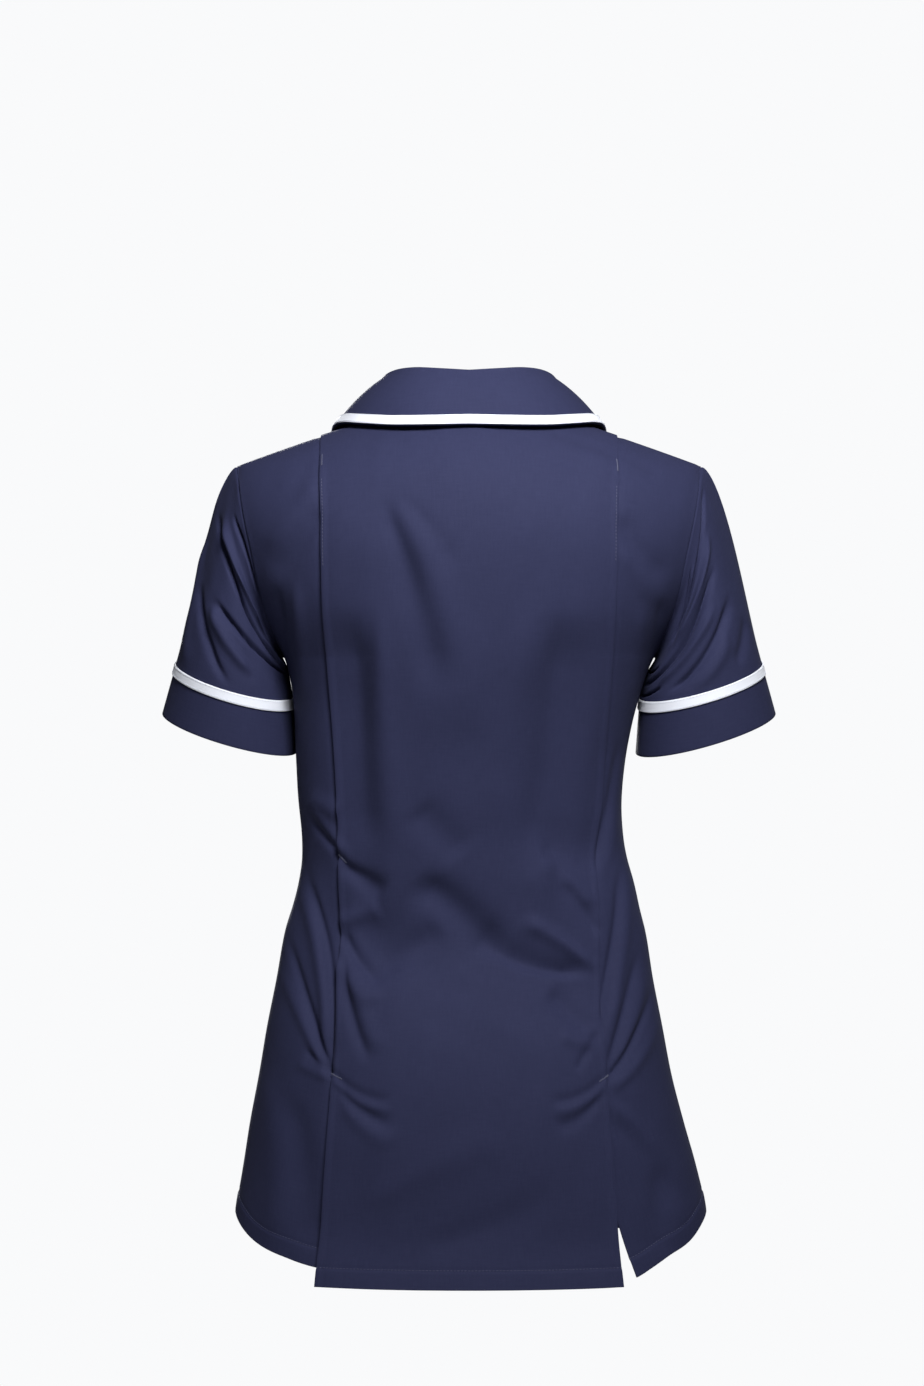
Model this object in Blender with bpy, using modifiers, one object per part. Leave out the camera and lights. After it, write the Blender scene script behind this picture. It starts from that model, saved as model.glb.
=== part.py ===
"""A women's short-sleeved nurse's tunic, worn: hollow, open at the neck, cuffs and hem.

Metres, +Z up. The back faces +Y, the wearer's left is +X, and the origin is where the shoulders hold it,
at the base of the neck. Each cut piece is an open sheet, lofted through sections worked out from the
tables below, and given its thickness by Solidify. Heights in the tables are millimetres from the origin.
"""

import bmesh
import bpy
import numpy as np

MM = 0.001

CLOTH = 1.4 * MM
TAPE_CLOTH = 1.0 * MM
SEAM_GAP = 0.3 * MM
SIDE_SEAM_SHIFT = 0.3 * MM
UNDERARM = -186.0

# Half width of the body at each height. Above the underarm it is the armhole seam.
WIDTHS = {
    "height": (-680, -624, -596, -557, -519, -480, -442, -404, -384, -365, -346, -327, -288, -250, -225,
               -205, -186, -171, -156, -130, -96, -56, 0),
    "half_width": (193, 188, 182.5, 174, 165.5, 158.5, 151, 144.5, 139, 134.5, 130.5, 129, 130.5, 134, 137.5,
                   141.8, 147.8, 153.4, 158.5, 165, 171, 178, 185),
}
# How far the body is shifted to the wearer's left at each height, because of the way it is stood in.
SWAY = {
    "height": (-680, -620, -590, -555, -510, -400, -365, -330, -300, -267, -238, -214, -186),
    "shift": (-0.5, -1.4, -0.4, 1.8, 3.2, 3.0, 2.2, 5.0, 7.2, 6.6, 4.4, 2.0, 0),
}
# How far the middle of the back and of the front stand out from the side seams' plane.
DEPTHS = {
    "height": (-680, -640, -600, -560, -519, -480, -442, -404, -384, -350, -327, -269, -220, -186, -150, -110,
               -60, 0),
    "back": (122, 118.5, 117, 118, 115.5, 108, 95.5, 84.5, 82.5, 85, 87.5, 94.5, 104, 112, 118, 121,
             121, 121),
    "front": (124, 124, 124, 123.2, 122, 119.8, 117, 113, 111, 109.4, 109, 118, 130, 133, 128, 117, 104, 92),
}
SIDE_ROUNDNESS = 2.2
ARMHOLE_DEPTH = 57.0
ARMHOLE_ROUNDNESS = 0.75

# The shoulder line: its height falls away on both sides of the neck.
RIDGE_TOP = 40.6
RIDGE_SLOPE = 0.375
RIDGE_ROUNDING = 60.0
RIDGE_SPREAD = 1.6
# From what share of the way up the body rounds over to the shoulder line, and how sharply.
SHOULDER_TURN = {"back": (0.4, 2.4), "front": (0.5, 2.2)}
# Normals are taken no nearer the side seam than this share of the half width.
NORMAL_REACH = 0.985

NECK_HALF_WIDTH = 78.0
BACK_NECK_DROP = 9.0

# The two pleats down the back, by half spacing, and the edges of the side panels that run behind them.
PLEATS = {
    "height": (-676, -592, -511, -453, -384, -343, -282, -220, -173, -110, -55, 0),
    "half_spacing": (117.7, 111.5, 106.3, 103.6, 101.2, 102.1, 105, 109, 112, 114.2, 115.3, 117.5),
}
PLEAT_UNDERLAP = 16.0
UNDERLAP_SINK = 1.1
VENT_TOP = -511.0
CENTRE_HEM = -675.5
FLAP_LIFT = 4.0
# The lower edge of each side back panel, from the vent to the side seam, and its edge in the vent.
LEFT_HEM = {"across": (95, 117, 140, 167, 180, 190), "height": (-663, -661.5, -656, -646, -636, -624)}
RIGHT_HEM = {"across": (95, 131, 145, 158, 175, 190), "height": (-673, -670, -663, -655, -644, -624)}
RIGHT_VENT = {"height": (-676, -670, -627, -580, -511), "across": (133, 131, 117, 104, 92)}
FRONT_HEM = {"across": (0, 100, 140, 165, 180, 190), "height": (-660, -658, -651, -642, -634, -624)}

FRONT_LAP = 13.0
BREAK_POINT = -200.0
ROLL_TOP = 76.0
LAPEL_EDGE = {"height": (-196, -176, -140, -110, -84, -62), "across": (6, 26, 58, 80, 95, 99)}
LAPEL_FOOT = {"left": -176.0, "right": -196.0}
LAPEL_TOP = -62.0
LAPEL_ROLL = 1.2
LAPEL_NOTCH = {"share": (0, 0.6, 1), "drop": (0, 2, 14)}
LAPEL_ROLL_GAP = 0.8
# How the front's edge curves out along the roll line, and how far over its own thickness a lap is raised.
ROLL_CURVE = 1.25
ROLL_START = 0.9
LAP_EASE = 1.15
LAP_SLOPE = (-45.0, -16.0)

# The collar by stations from the centre back to its front end: points (x, y, z) where it is sewn on, where
# it folds and where its outer edge lies over the body, and the way its fold rises at each.
COLLAR = {
    "seam": ((0, 58.5, 10.6), (22, 57, 10), (42, 53.3, 8.5), (59, 47, 6.5), (71.5, 30, 6.4), (75.5, 0, 6.6),
             (74.5, -30.5, 2.2), (73, -67, -18.5), (69.5, -84, -36.6), (65, -94, -51.2)),
    "fold": ((0, 58, 39), (22, 55, 40.5), (42, 45, 42), (57, 29, 41), (66, 9, 37), (69, -14, 29.5),
             (68, -42, 14), (66, -70, -10), (62, -88, -31), (57, -100, -50)),
    "edge": ((0, 89, -4.5), (32, 88, -5), (62, 77, -4.5), (86, 55, -2), (101, 26, 0.3), (108.5, -6, -0.8),
             (111, -38, -8.5), (111, -62, -24.5), (109.5, -82, -45), (105.5, -94.5, -62)),
    "crown": ((0, 0, 1), (0, 0, 1), (0, 0, 1), (0, 0, 1), (0, -0.05, 1), (0, -0.2, 1), (0.05, -0.45, 0.9),
              (0.1, -0.65, 0.75), (0.15, -0.8, 0.6), (0.16, -0.87, 0.46)),
}
COLLAR_BULGE = 0.16
# The rounded fold between stand and fall, as (out, up) from the fold rail.
COLLAR_FOLD_IN = (0.0, -1.5)
COLLAR_FOLD_RISE = (0.8, 0.8)
COLLAR_FOLD_TOP = (2.6, 1.2)
COLLAR_FOLD_OUT = (5.2, -1.5)
COLLAR_BULGE_WAY = (0.6, 1.6)
STAND_SHARES = (0.0, 0.35, 0.7)
TAPE_WIDTH = 8.5

# The sleeve's lower end: two rings, at the cuff's edge and where the band joins, both tilted.
CUFF = {
    "name": ("hem", "band"),
    "centre": ((194, -20, -245.5), (190, -13, -206.5)),
    "half_width": (55, 48),
    "half_depth": (56, 57),
}
# The wearer's right sleeve hangs a little wider, towards the body.
RIGHT_CUFF_EXTRA = 2.0
CUFF_TILT_SIDE = 16.0
CUFF_TILT_FORWARD = 10.0
SLEEVE_HANDLE_TOP = 20.0
SLEEVE_HANDLE_UNDERARM = 5.0
SLEEVE_HANDLE_CUFF = 58.0
# Under the arm the sleeve leaves the body more outward than along its own way, from this share of a turn.
UNDERARM_FROM = 0.72
UNDERARM_LESS_AWAY = 0.35
UNDERARM_OUTWARD = 0.75
ARMHOLE_OUTWARD = 0.02

BUTTON_HEIGHTS = (-222, -312, -402, -492, -582)
BUTTON_RADIUS = 9.0 * MM
BUTTON_THICKNESS = 2.6 * MM

# The largest folds of the back: start and end as (across, height), half width and depth, in millimetres.
FOLDS = (
    {"start": (70, -70), "end": (24, -205), "half_width": 17, "depth": 2.2},
    {"start": (112, -345), "end": (106, -455), "half_width": 12, "depth": 3.0},
    {"start": (140, -395), "end": (112, -500), "half_width": 12, "depth": 2.6},
    {"start": (-112, -250), "end": (-100, -345), "half_width": 13, "depth": 3.0},
    {"start": (-142, -455), "end": (-110, -510), "half_width": 12, "depth": 2.4},
    {"start": (84, -345), "end": (70, -440), "half_width": 14, "depth": 2.4},
)


def along(table, column, at):
    """A table's column, read on a smooth curve through its rows at a value of the table's first column."""
    keys = np.array(list(table.values())[0], float)
    values = np.array(table[column], float)
    at = np.clip(at, keys.min(), keys.max())
    if keys[0] > keys[-1]:
        keys = keys[::-1]
        values = values[::-1]
    steps = np.diff(values) / np.diff(keys)
    slopes = np.concatenate([[steps[0]], (steps[1:] + steps[:-1]) / 2, [steps[-1]]])
    i = np.clip(np.searchsorted(keys, at) - 1, 0, len(keys) - 2)
    span = keys[i + 1] - keys[i]
    t = (at - keys[i]) / span
    return (
        values[i] * (1 + 2 * t) * (1 - t) ** 2
        + slopes[i] * span * t * (1 - t) ** 2
        + values[i + 1] * t * t * (3 - 2 * t)
        + slopes[i + 1] * span * t * t * (t - 1)
    )


def ridge(across):
    """Height of the shoulder line."""
    return RIDGE_TOP - RIDGE_SLOPE * np.hypot(across, RIDGE_ROUNDING)


def fold_relief(across, height):
    """How far the back's largest folds push the cloth in."""
    relief = 0.0
    for fold in FOLDS:
        start = np.array(fold["start"], float)
        run = np.array(fold["end"], float) - start
        length = np.hypot(*run)
        gap = np.array([across, height]) - start
        t = float(gap @ run) / length**2
        off = (gap[0] * run[1] - gap[1] * run[0]) / length
        fade = np.clip(min(t + 0.15, 1.15 - t) / 0.3, 0, 1)
        relief += fold["depth"] * np.exp(-((off / fold["half_width"]) ** 2)) * fade * fade * (3 - 2 * fade)
    return relief


def side_edge(hand, height):
    """Where the side seam lies, or above the underarm the armhole seam, on the wearer's left or right."""
    return along(SWAY, "shift", height) + hand * along(WIDTHS, "half_width", height)


def body_point(side, across, height):
    """A point of the body's outer surface, in millimetres. side is 1 on the back and -1 on the front.

    Up to the underarm, height is the real height, and a section runs round to the side seam. Above it the
    rows slope, height 0 is the shoulder line, and a section is cut off at the armhole.
    """
    rise = max(0.0, (height - UNDERARM) / -UNDERARM)
    half = along(WIDTHS, "half_width", height)
    middle = along(DEPTHS, "back" if side > 0 else "front", height)
    round_from, power = SHOULDER_TURN["back" if side > 0 else "front"]
    over = np.clip((rise - round_from) / (1 - round_from), 0, 0.99999)
    middle *= (1 - over**power) ** (1 / power)
    edge = ARMHOLE_DEPTH * max(0.0, 4 * rise * (1 - rise)) ** ARMHOLE_ROUNDNESS
    edge_share = (1 - min(edge / middle, 0.9) ** SIDE_ROUNDNESS) ** (1 / SIDE_ROUNDNESS)
    u = min(1.0, abs(across - along(SWAY, "shift", height)) / half)
    depth = middle * max(0.0, 1 - (u * edge_share) ** SIDE_ROUNDNESS) ** (1 / SIDE_ROUNDNESS)
    z = height + rise**RIDGE_SPREAD * ridge(across)
    if side > 0:
        depth -= fold_relief(across, z) * (1 - u**6)
    return np.array([across, side * depth, z])


def body_normal(side, across, height):
    """Outward direction of the body's surface."""
    reach = NORMAL_REACH * along(WIDTHS, "half_width", height)
    shift = along(SWAY, "shift", height)
    inner = np.clip(across, shift - reach, shift + reach)
    low, high = np.clip([height - 2, height + 2], -680, -1)
    ahead = body_point(side, inner + 1, height) - body_point(side, inner - 1, height)
    up = body_point(side, inner, high) - body_point(side, inner, low)
    normal = np.cross(up, ahead) * side
    return normal / np.linalg.norm(normal)


def lifted(side, across, height, lift):
    """A point on the body, moved out by a lift in millimetres."""
    return body_point(side, across, height) + lift * body_normal(side, across, height)


def smooth_step(value, low, high):
    t = np.clip((value - low) / (high - low), 0, 1)
    return t * t * (3 - 2 * t)


def rows_between(bottom, top, below=16, above=13):
    """Heights of a panel's rows: even up to the underarm, then closer at both ends of the armhole."""
    lower = np.linspace(bottom, UNDERARM, below, endpoint=False)
    if top <= UNDERARM:
        return np.linspace(bottom, top, below)
    turn = np.linspace(0, np.pi, above)
    upper = UNDERARM + (top - UNDERARM) * (1 - np.cos(turn)) / 2
    return np.concatenate([lower, upper])


def closer_at_ends(even, much):
    """Even shares of a width, drawn closer together towards 1 and -1."""
    return (1 - much) * even + much * np.sin(np.pi / 2 * even)


def sheet_mesh(name, grid, loop=False):
    """An open sheet of quads through a grid of points in millimetres, its rows joined up if it is a tube."""
    mesh = bpy.data.meshes.new(name)
    built = bmesh.new()
    verts = [[built.verts.new(point * MM) for point in row] for row in grid]
    rows = len(verts)
    columns = len(verts[0])
    for i in range(rows - 1):
        for j in range(columns if loop else columns - 1):
            k = (j + 1) % columns
            built.faces.new((verts[i][j], verts[i][k], verts[i + 1][k], verts[i + 1][j]))
    built.to_mesh(mesh)
    built.free()
    return mesh


def cloth_piece(name, grid, material, thickness=CLOTH, outward=False, loop=False):
    """A sewn piece: its sheet, with the wall's thickness added behind its face or in front of it."""
    mesh = sheet_mesh(name, grid, loop)
    mesh.shade_smooth()
    piece = bpy.data.objects.new(name, mesh)
    bpy.data.collections["nurse_tunic"].objects.link(piece)
    wall = piece.modifiers.new("wall", "SOLIDIFY")
    wall.thickness = thickness
    wall.offset = 1.0 if outward else -1.0
    wall.use_even_offset = True
    piece.data.materials.append(material)
    return piece


def make_material(name, colour, roughness, metallic=0.0):
    material = bpy.data.materials.new(name)
    material.use_nodes = True
    shader = material.node_tree.nodes["Principled BSDF"]
    shader.inputs["Base Color"].default_value = (*colour, 1.0)
    shader.inputs["Roughness"].default_value = roughness
    shader.inputs["Metallic"].default_value = metallic
    return material


def clear_scene():
    for old in list(bpy.data.objects):
        bpy.data.objects.remove(old, do_unlink=True)
    collection = bpy.data.collections.new("nurse_tunic")
    bpy.context.scene.collection.children.link(collection)


def pleat_line(height):
    return along(PLEATS, "half_spacing", height)


def neck_row(across, top=0.0):
    """Height of the back neck seam, on the body's own rows."""
    if abs(across) >= NECK_HALF_WIDTH:
        return top
    return top - BACK_NECK_DROP * np.sqrt(1 - (across / NECK_HALF_WIDTH) ** 2)


def make_back_centre(navy):
    """The centre panel lies on the side panels along both pleats, and hangs free below the vents."""
    columns = []
    for share in closer_at_ends(np.linspace(-1, 1, 19), 0.35):
        column = []
        for height in rows_between(CENTRE_HEM, neck_row(share * pleat_line(0))):
            lift = 2 * SEAM_GAP / MM + CLOTH / MM
            lift += FLAP_LIFT * smooth_step(-height, -VENT_TOP, -CENTRE_HEM)
            column.append(lifted(1, share * pleat_line(height), height, lift))
        columns.append(column)
    return cloth_piece("back_centre", columns, navy)


def make_side_back(name, hand, navy):
    """A side back panel, from behind the pleat to the side seam and the armhole."""
    hem = LEFT_HEM if hand > 0 else RIGHT_HEM
    columns = []
    for share in closer_at_ends(np.linspace(0, 1, 10), 0.6):
        start = pleat_line(-676) - PLEAT_UNDERLAP if hand > 0 else RIGHT_VENT["across"][0]
        foot = along(hem, "height", start + share * (188 - start))
        column = []
        for height in rows_between(foot, 0.0):
            inner = pleat_line(height) - PLEAT_UNDERLAP
            if hand < 0 and height < VENT_TOP:
                inner = along(RIGHT_VENT, "across", height)
            outer = hand * side_edge(hand, height)
            across = inner + share * (outer - inner)
            pleat = pleat_line(height)
            sunk = UNDERLAP_SINK * smooth_step(-across, -pleat - 4, -pleat + 6)
            column.append(lifted(1, hand * across, height, -sunk) + [0, SIDE_SEAM_SHIFT / MM, 0])
        columns.append(column)
    if hand < 0:
        columns = columns[::-1]
    return cloth_piece(name, columns, navy)


def front_inner_edge(height):
    """Where a front ends towards the middle: at its lap, or above the break point at the roll line."""
    if height < BREAK_POINT:
        return -FRONT_LAP
    t = (height - BREAK_POINT) / -BREAK_POINT
    return -FRONT_LAP + (ROLL_TOP + FRONT_LAP) * (1 - (1 - t) ** ROLL_CURVE) ** ROLL_START


def make_front(name, hand, navy):
    """A front, from the side seam to its lap. The wearer's right front lies on top."""
    columns = []
    for share in closer_at_ends(np.linspace(0, 1, 14), 0.65):
        foot = along(FRONT_HEM, "height", share * 188)
        column = []
        for height in rows_between(foot, 0.0):
            inner = front_inner_edge(height)
            outer = hand * side_edge(hand, height)
            across = hand * (inner + share * (outer - inner))
            point = lifted(-1, across, height, lap_lift(hand, across))
            column.append(point - [0, SIDE_SEAM_SHIFT / MM, 0])
        columns.append(column)
    if hand > 0:
        columns = columns[::-1]
    return cloth_piece(name, columns, navy)


def lap_lift(hand, across):
    """How far the wearer's right front is raised where it lies on the left one."""
    if hand > 0:
        return 0.0
    return (CLOTH + SEAM_GAP) / MM * LAP_EASE * smooth_step(across, *LAP_SLOPE)


def make_lapel(name, hand, navy):
    """The turned-back revers, lying on its front from the roll line out, with the notch under the collar."""
    foot = LAPEL_FOOT["left" if hand > 0 else "right"]
    columns = []
    for share in np.linspace(0, 1, 7):
        column = []
        top = LAPEL_TOP - along(LAPEL_NOTCH, "drop", share)
        for height in np.linspace(foot, top, 11):
            roll = front_inner_edge(height) + LAPEL_ROLL_GAP
            across = hand * (roll + share * (along(LAPEL_EDGE, "across", height) - roll))
            lift = (CLOTH + 2 * SEAM_GAP) / MM + lap_lift(hand, across)
            lift += LAPEL_ROLL * np.sin(np.pi * share) ** 2
            column.append(lifted(-1, across, height, lift))
        columns.append(column)
    if hand > 0:
        columns = columns[::-1]
    return cloth_piece(name, columns, navy)


def collar_rail(name, station):
    """A rail of the collar, smooth through its stations, mirrored past the centre back."""
    points = np.array(COLLAR[name], float)
    x, y, z = (
        along({"station": tuple(range(len(points))), "value": tuple(points[:, k])}, "value", abs(station))
        for k in range(3)
    )
    return np.array([x if station >= 0 else -x, y, z])


def collar_section(station, steps=11):
    """The collar's outer face at a station: from its seam up, over the fold and down to its edge."""
    seam = collar_rail("seam", station)
    fold = collar_rail("fold", station)
    edge = collar_rail("edge", station)
    up = collar_rail("crown", station)
    up /= np.linalg.norm(up)
    fall = edge - fold
    out = fall - up * (fall @ up)
    out /= np.linalg.norm(out)
    bulge = (out * COLLAR_BULGE_WAY[0] + up * COLLAR_BULGE_WAY[1]) * COLLAR_BULGE * np.linalg.norm(fall)
    points = [seam + t * (fold - seam) for t in STAND_SHARES]
    for outward, upward in (COLLAR_FOLD_IN, COLLAR_FOLD_RISE, COLLAR_FOLD_TOP):
        points.append(fold + out * outward + up * upward)
    down = fold + out * COLLAR_FOLD_OUT[0] + up * COLLAR_FOLD_OUT[1]
    for t in np.linspace(0, 1, steps - 5):
        points.append(down + t * (edge - down) + bulge * t * (1 - t))
    return points


def collar_stations():
    last = len(COLLAR["seam"]) - 1
    return np.linspace(last, -last, 37)


def make_collar(navy):
    """One-piece turned-down collar: the stand inside, the fall outside."""
    grid = [collar_section(station) for station in collar_stations()]
    return cloth_piece("collar", grid, navy)


def make_collar_tape(white):
    """The tape on the collar's outer edge, made from the collar's own points, moved out."""
    grid = []
    stations = collar_stations()
    sections = np.array([collar_section(station) for station in stations])
    for i, section in enumerate(sections):
        before = sections[max(i - 1, 0)]
        after = sections[min(i + 1, len(sections) - 1)]
        run = section[-1] - section[-2]
        run /= np.linalg.norm(run)
        ahead = after[-1] - before[-1]
        normal = np.cross(run, ahead)
        normal /= np.linalg.norm(normal)
        if normal @ (collar_rail("crown", stations[i]) + section[-1] * [0.01, 0.01, 0]) < 0:
            normal = -normal
        edge = section[-1] + normal * SEAM_GAP / MM
        grid.append([edge - run * TAPE_WIDTH, edge - run * TAPE_WIDTH / 2, edge - run * 0.4])
    return cloth_piece("collar_tape", grid, white, TAPE_CLOTH, outward=True)


def cuff_ring(which, turn, hand):
    """A point of the sleeve's lower end. turn is 0 under the arm and runs by the back to the outside."""
    i = CUFF["name"].index(which)
    tilt = np.radians(CUFF_TILT_SIDE)
    lean = np.radians(CUFF_TILT_FORWARD)
    lateral = np.array([np.cos(tilt), 0, np.sin(tilt)])
    backward = np.array([0, np.cos(lean), -np.sin(lean)])
    extra = RIGHT_CUFF_EXTRA if hand < 0 else 0.0
    inward = -lateral * (np.cos(turn) * (CUFF["half_width"][i] + extra) + extra)
    back = backward * np.sin(turn) * CUFF["half_depth"][i]
    return (np.array(CUFF["centre"][i], float) + inward + back) * [hand, 1, 1]


def armhole_point(turn, hand):
    """A point of the armhole seam at a turn of the sleeve."""
    side = 1 if np.sin(turn) >= 0 else -1
    height = UNDERARM * (1 + np.cos(turn)) / 2
    return body_point(side, side_edge(hand, height), height)


def sleeve_point(turn, share, hand, start_gap=0.35):
    """The sleeve's outer face: from the armhole (share 0) to where the band joins (share 1)."""
    seam = armhole_point(turn, hand)
    top = (1 - np.cos(turn)) / 2
    side = 1 if np.sin(turn) >= 0 else -1
    height = UNDERARM * (1 + np.cos(turn)) / 2
    normal = body_normal(side, side_edge(hand, height), height)
    before = armhole_point(turn - 0.02, hand)
    after = armhole_point(turn + 0.02, hand)
    away = np.cross(after - before, normal)
    away /= np.linalg.norm(away)
    if away[0] * hand + away[2] * 0.4 * np.cos(turn) < 0:
        away = -away
    under = smooth_step(1 - top, UNDERARM_FROM, 1.0)
    leave = away * (1 - UNDERARM_LESS_AWAY * under) + normal * (ARMHOLE_OUTWARD + UNDERARM_OUTWARD * under)
    leave /= np.linalg.norm(leave)
    handle = SLEEVE_HANDLE_UNDERARM + (SLEEVE_HANDLE_TOP - SLEEVE_HANDLE_UNDERARM) * (1 - under)
    start = seam + away * start_gap + normal * 0.25 * under
    end = cuff_ring("band", turn, hand)
    down = cuff_ring("hem", turn, hand) - end
    down /= np.linalg.norm(down)
    reach = min(SLEEVE_HANDLE_CUFF, 0.4 * np.linalg.norm(end - start))
    one = start + leave * handle
    two = end - down * reach
    t = share
    return (1 - t) ** 3 * start + 3 * t * (1 - t) ** 2 * one + 3 * t * t * (1 - t) * two + t**3 * end


def band_point(turn, share, hand):
    """The band below the sleeve, from its join (share 0) to the cuff's edge (share 1)."""
    join = cuff_ring("band", turn, hand)
    return join + share * (cuff_ring("hem", turn, hand) - join)


def ring_rows(point_at, shares, hand, count=28):
    turns = np.linspace(0, 2 * np.pi, count, endpoint=False)
    rows = [[point_at(turn, share, hand) for turn in turns] for share in shares]
    return rows if hand > 0 else [row[::-1] for row in rows]


def make_sleeve(hand, label, navy, white):
    """A short set-in sleeve with its plain band, and the tape that covers their seam."""
    shares = (0, 0.03, 0.08, 0.16, 0.27, 0.4, 0.54, 0.68, 0.84, 0.99)
    cloth_piece("sleeve_" + label, ring_rows(sleeve_point, shares, hand), navy, loop=True)
    band = ring_rows(band_point, (0.02, 0.5, 1.0), hand)
    cloth_piece("sleeve_band_" + label, band, navy, loop=True)
    tape_shares = (-0.1, 0.02, 0.12)
    rows = []
    for share in tape_shares:
        ring = np.array(ring_rows(band_point, (share,), hand)[0])
        centre = ring.mean(axis=0)
        away = ring - centre
        away /= np.linalg.norm(away, axis=1)[:, None]
        rows.append(list(ring + away * (SEAM_GAP / MM + 0.25)))
    cloth_piece("sleeve_tape_" + label, rows, white, TAPE_CLOTH, outward=True, loop=True)


def make_buttons(plastic):
    """Plain sew-through buttons down the lapped fronts: a turned disc with a raised rim."""
    r = BUTTON_RADIUS
    t = BUTTON_THICKNESS
    well = ((0, t * 0.7), (r * 0.62, t * 0.7))
    rim = ((r * 0.78, t), (r * 0.92, t), (r, t * 0.6), (r * 0.9, 0), (0, 0))
    profile = well + rim
    for number, height in enumerate(BUTTON_HEIGHTS, 1):
        mesh = bpy.data.meshes.new(f"button_{number}")
        edges = [(i, i + 1) for i in range(len(profile) - 1)]
        mesh.from_pydata([(x, 0, z) for x, z in profile], edges, [])
        button = bpy.data.objects.new(f"button_{number}", mesh)
        bpy.data.collections["nurse_tunic"].objects.link(button)
        turned = button.modifiers.new("turned", "SCREW")
        turned.steps = 16
        turned.render_steps = 16
        turned.use_merge_vertices = True
        turned.merge_threshold = 0.00001
        normal = body_normal(-1, 0, height)
        seat = lifted(-1, 0, height, (CLOTH + 3 * SEAM_GAP) / MM * LAP_EASE) - [0, SIDE_SEAM_SHIFT / MM, 0]
        button.location = seat * MM
        button.rotation_euler = (np.arctan2(-normal[1], normal[2]), 0, 0)
        button.data.materials.append(plastic)


def main():
    clear_scene()
    navy = make_material("navy_twill", (0.035, 0.037, 0.085), 0.75)
    white = make_material("white_tape", (0.85, 0.87, 0.93), 0.7)
    plastic = make_material("navy_button", (0.02, 0.022, 0.05), 0.35)
    make_back_centre(navy)
    make_side_back("side_back_left", 1, navy)
    make_side_back("side_back_right", -1, navy)
    make_front("front_left", 1, navy)
    make_front("front_right", -1, navy)
    make_lapel("lapel_left", 1, navy)
    make_lapel("lapel_right", -1, navy)
    make_collar(navy)
    make_collar_tape(white)
    make_sleeve(1, "left", navy, white)
    make_sleeve(-1, "right", navy, white)
    make_buttons(plastic)


main()
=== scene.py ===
"""A women's short-sleeved nurse's tunic in dark navy twill with white tape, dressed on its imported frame.

Metres, +Z up. The back faces +Y and the tunic's own left is +X. Garment sizes are written in millimetres.
"""

import math

import bpy
import numpy as np
from mathutils import Matrix, Vector


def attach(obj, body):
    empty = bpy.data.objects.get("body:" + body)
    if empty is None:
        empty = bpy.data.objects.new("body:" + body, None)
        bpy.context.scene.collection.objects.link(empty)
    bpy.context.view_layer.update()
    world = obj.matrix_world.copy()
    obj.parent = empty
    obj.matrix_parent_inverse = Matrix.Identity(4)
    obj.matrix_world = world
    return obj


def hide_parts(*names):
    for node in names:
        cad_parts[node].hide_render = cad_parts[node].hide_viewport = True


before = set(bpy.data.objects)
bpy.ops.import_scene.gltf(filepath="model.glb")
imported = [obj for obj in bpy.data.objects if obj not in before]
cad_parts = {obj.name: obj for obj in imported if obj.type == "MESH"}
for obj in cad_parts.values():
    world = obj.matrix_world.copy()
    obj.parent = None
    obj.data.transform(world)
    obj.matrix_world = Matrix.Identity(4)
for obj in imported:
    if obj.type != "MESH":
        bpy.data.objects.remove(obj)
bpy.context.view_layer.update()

# The studio: a level camera straight behind the tunic at chest height, a pale floor far below, a pale room,
# a near soft light above the back and another before the front, and a weak far one with each.
CAMERA_PLACE = (0.0056, 3.5, -0.214)
CAMERA_LENS = 113.6
CAMERA_FILM = 36.0
FLOOR_HEIGHT = -1.45
FLOOR_SIZE = 7.6
ROOM_COLOUR = (0.95, 0.955, 0.965, 1.0)
ROOM_LIGHT = 0.085
ROOM_SEEN = 1.0
FLOOR_COLOUR = (0.86, 0.86, 0.87, 1.0)
FLOOR_ROUGHNESS = 0.9
FLOOR_GLOW = 0.75
SOFT_LIGHTS = {
    "key": {"place": (-0.2, 1.13, 0.8), "aim": (0.04, 0, 0.42), "size": 0.45, "power": 41.0},
    "wash": {"place": (1.2, 3.0, 0.1), "aim": (0, 0, 0), "size": 1.0, "power": 2.0},
    "front_key": {"place": (0.3, -1.7, 0.15), "aim": (0, 0, -0.2), "size": 0.4, "power": 44.0},
    "front_wash": {"place": (-1.2, -3.0, 0.1), "aim": (0, 0, -0.2), "size": 1.0, "power": 4.0},
}


def put_in_scene(name, data):
    """A new object, which holds a camera, a light, a curve or a mesh."""
    thing = bpy.data.objects.new(name, data)
    bpy.context.scene.collection.objects.link(thing)
    return thing


def set_values(node, values):
    """Gives a node its settings and the values of its inputs. A value that is a socket is linked."""
    for key, value in values.items():
        if isinstance(value, bpy.types.NodeSocket):
            node.id_data.links.new(value, node.inputs[key])
        elif isinstance(key, str) and hasattr(node, key):
            setattr(node, key, value)
        else:
            node.inputs[key].default_value = value


def add_node(tree, kind, place, values=None):
    """A new node in a tree, with its settings, values and links."""
    node = tree.nodes.new(kind)
    node.location = place
    set_values(node, values or {})
    return node


def math_node(tree, place, operation, *terms):
    """The result of one sum, whose terms may be numbers or sockets."""
    values = {"operation": operation, **dict(enumerate(terms))}
    return add_node(tree, "ShaderNodeMath", place, values).outputs[0]


def new_material(name):
    """A new material, with its tree and its shader."""
    material = bpy.data.materials.new(name)
    material.use_nodes = True
    return material, material.node_tree, material.node_tree.nodes["Principled BSDF"]


camera_data = bpy.data.cameras.new("camera")
camera_data.sensor_fit = "VERTICAL"
camera_data.sensor_height = CAMERA_FILM
camera_data.lens = CAMERA_LENS
camera = put_in_scene("camera", camera_data)
camera.location = CAMERA_PLACE
camera.rotation_euler = (math.radians(90), 0, math.radians(180))
bpy.context.scene.camera = camera
bpy.context.scene.view_settings.view_transform = "Standard"

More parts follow.
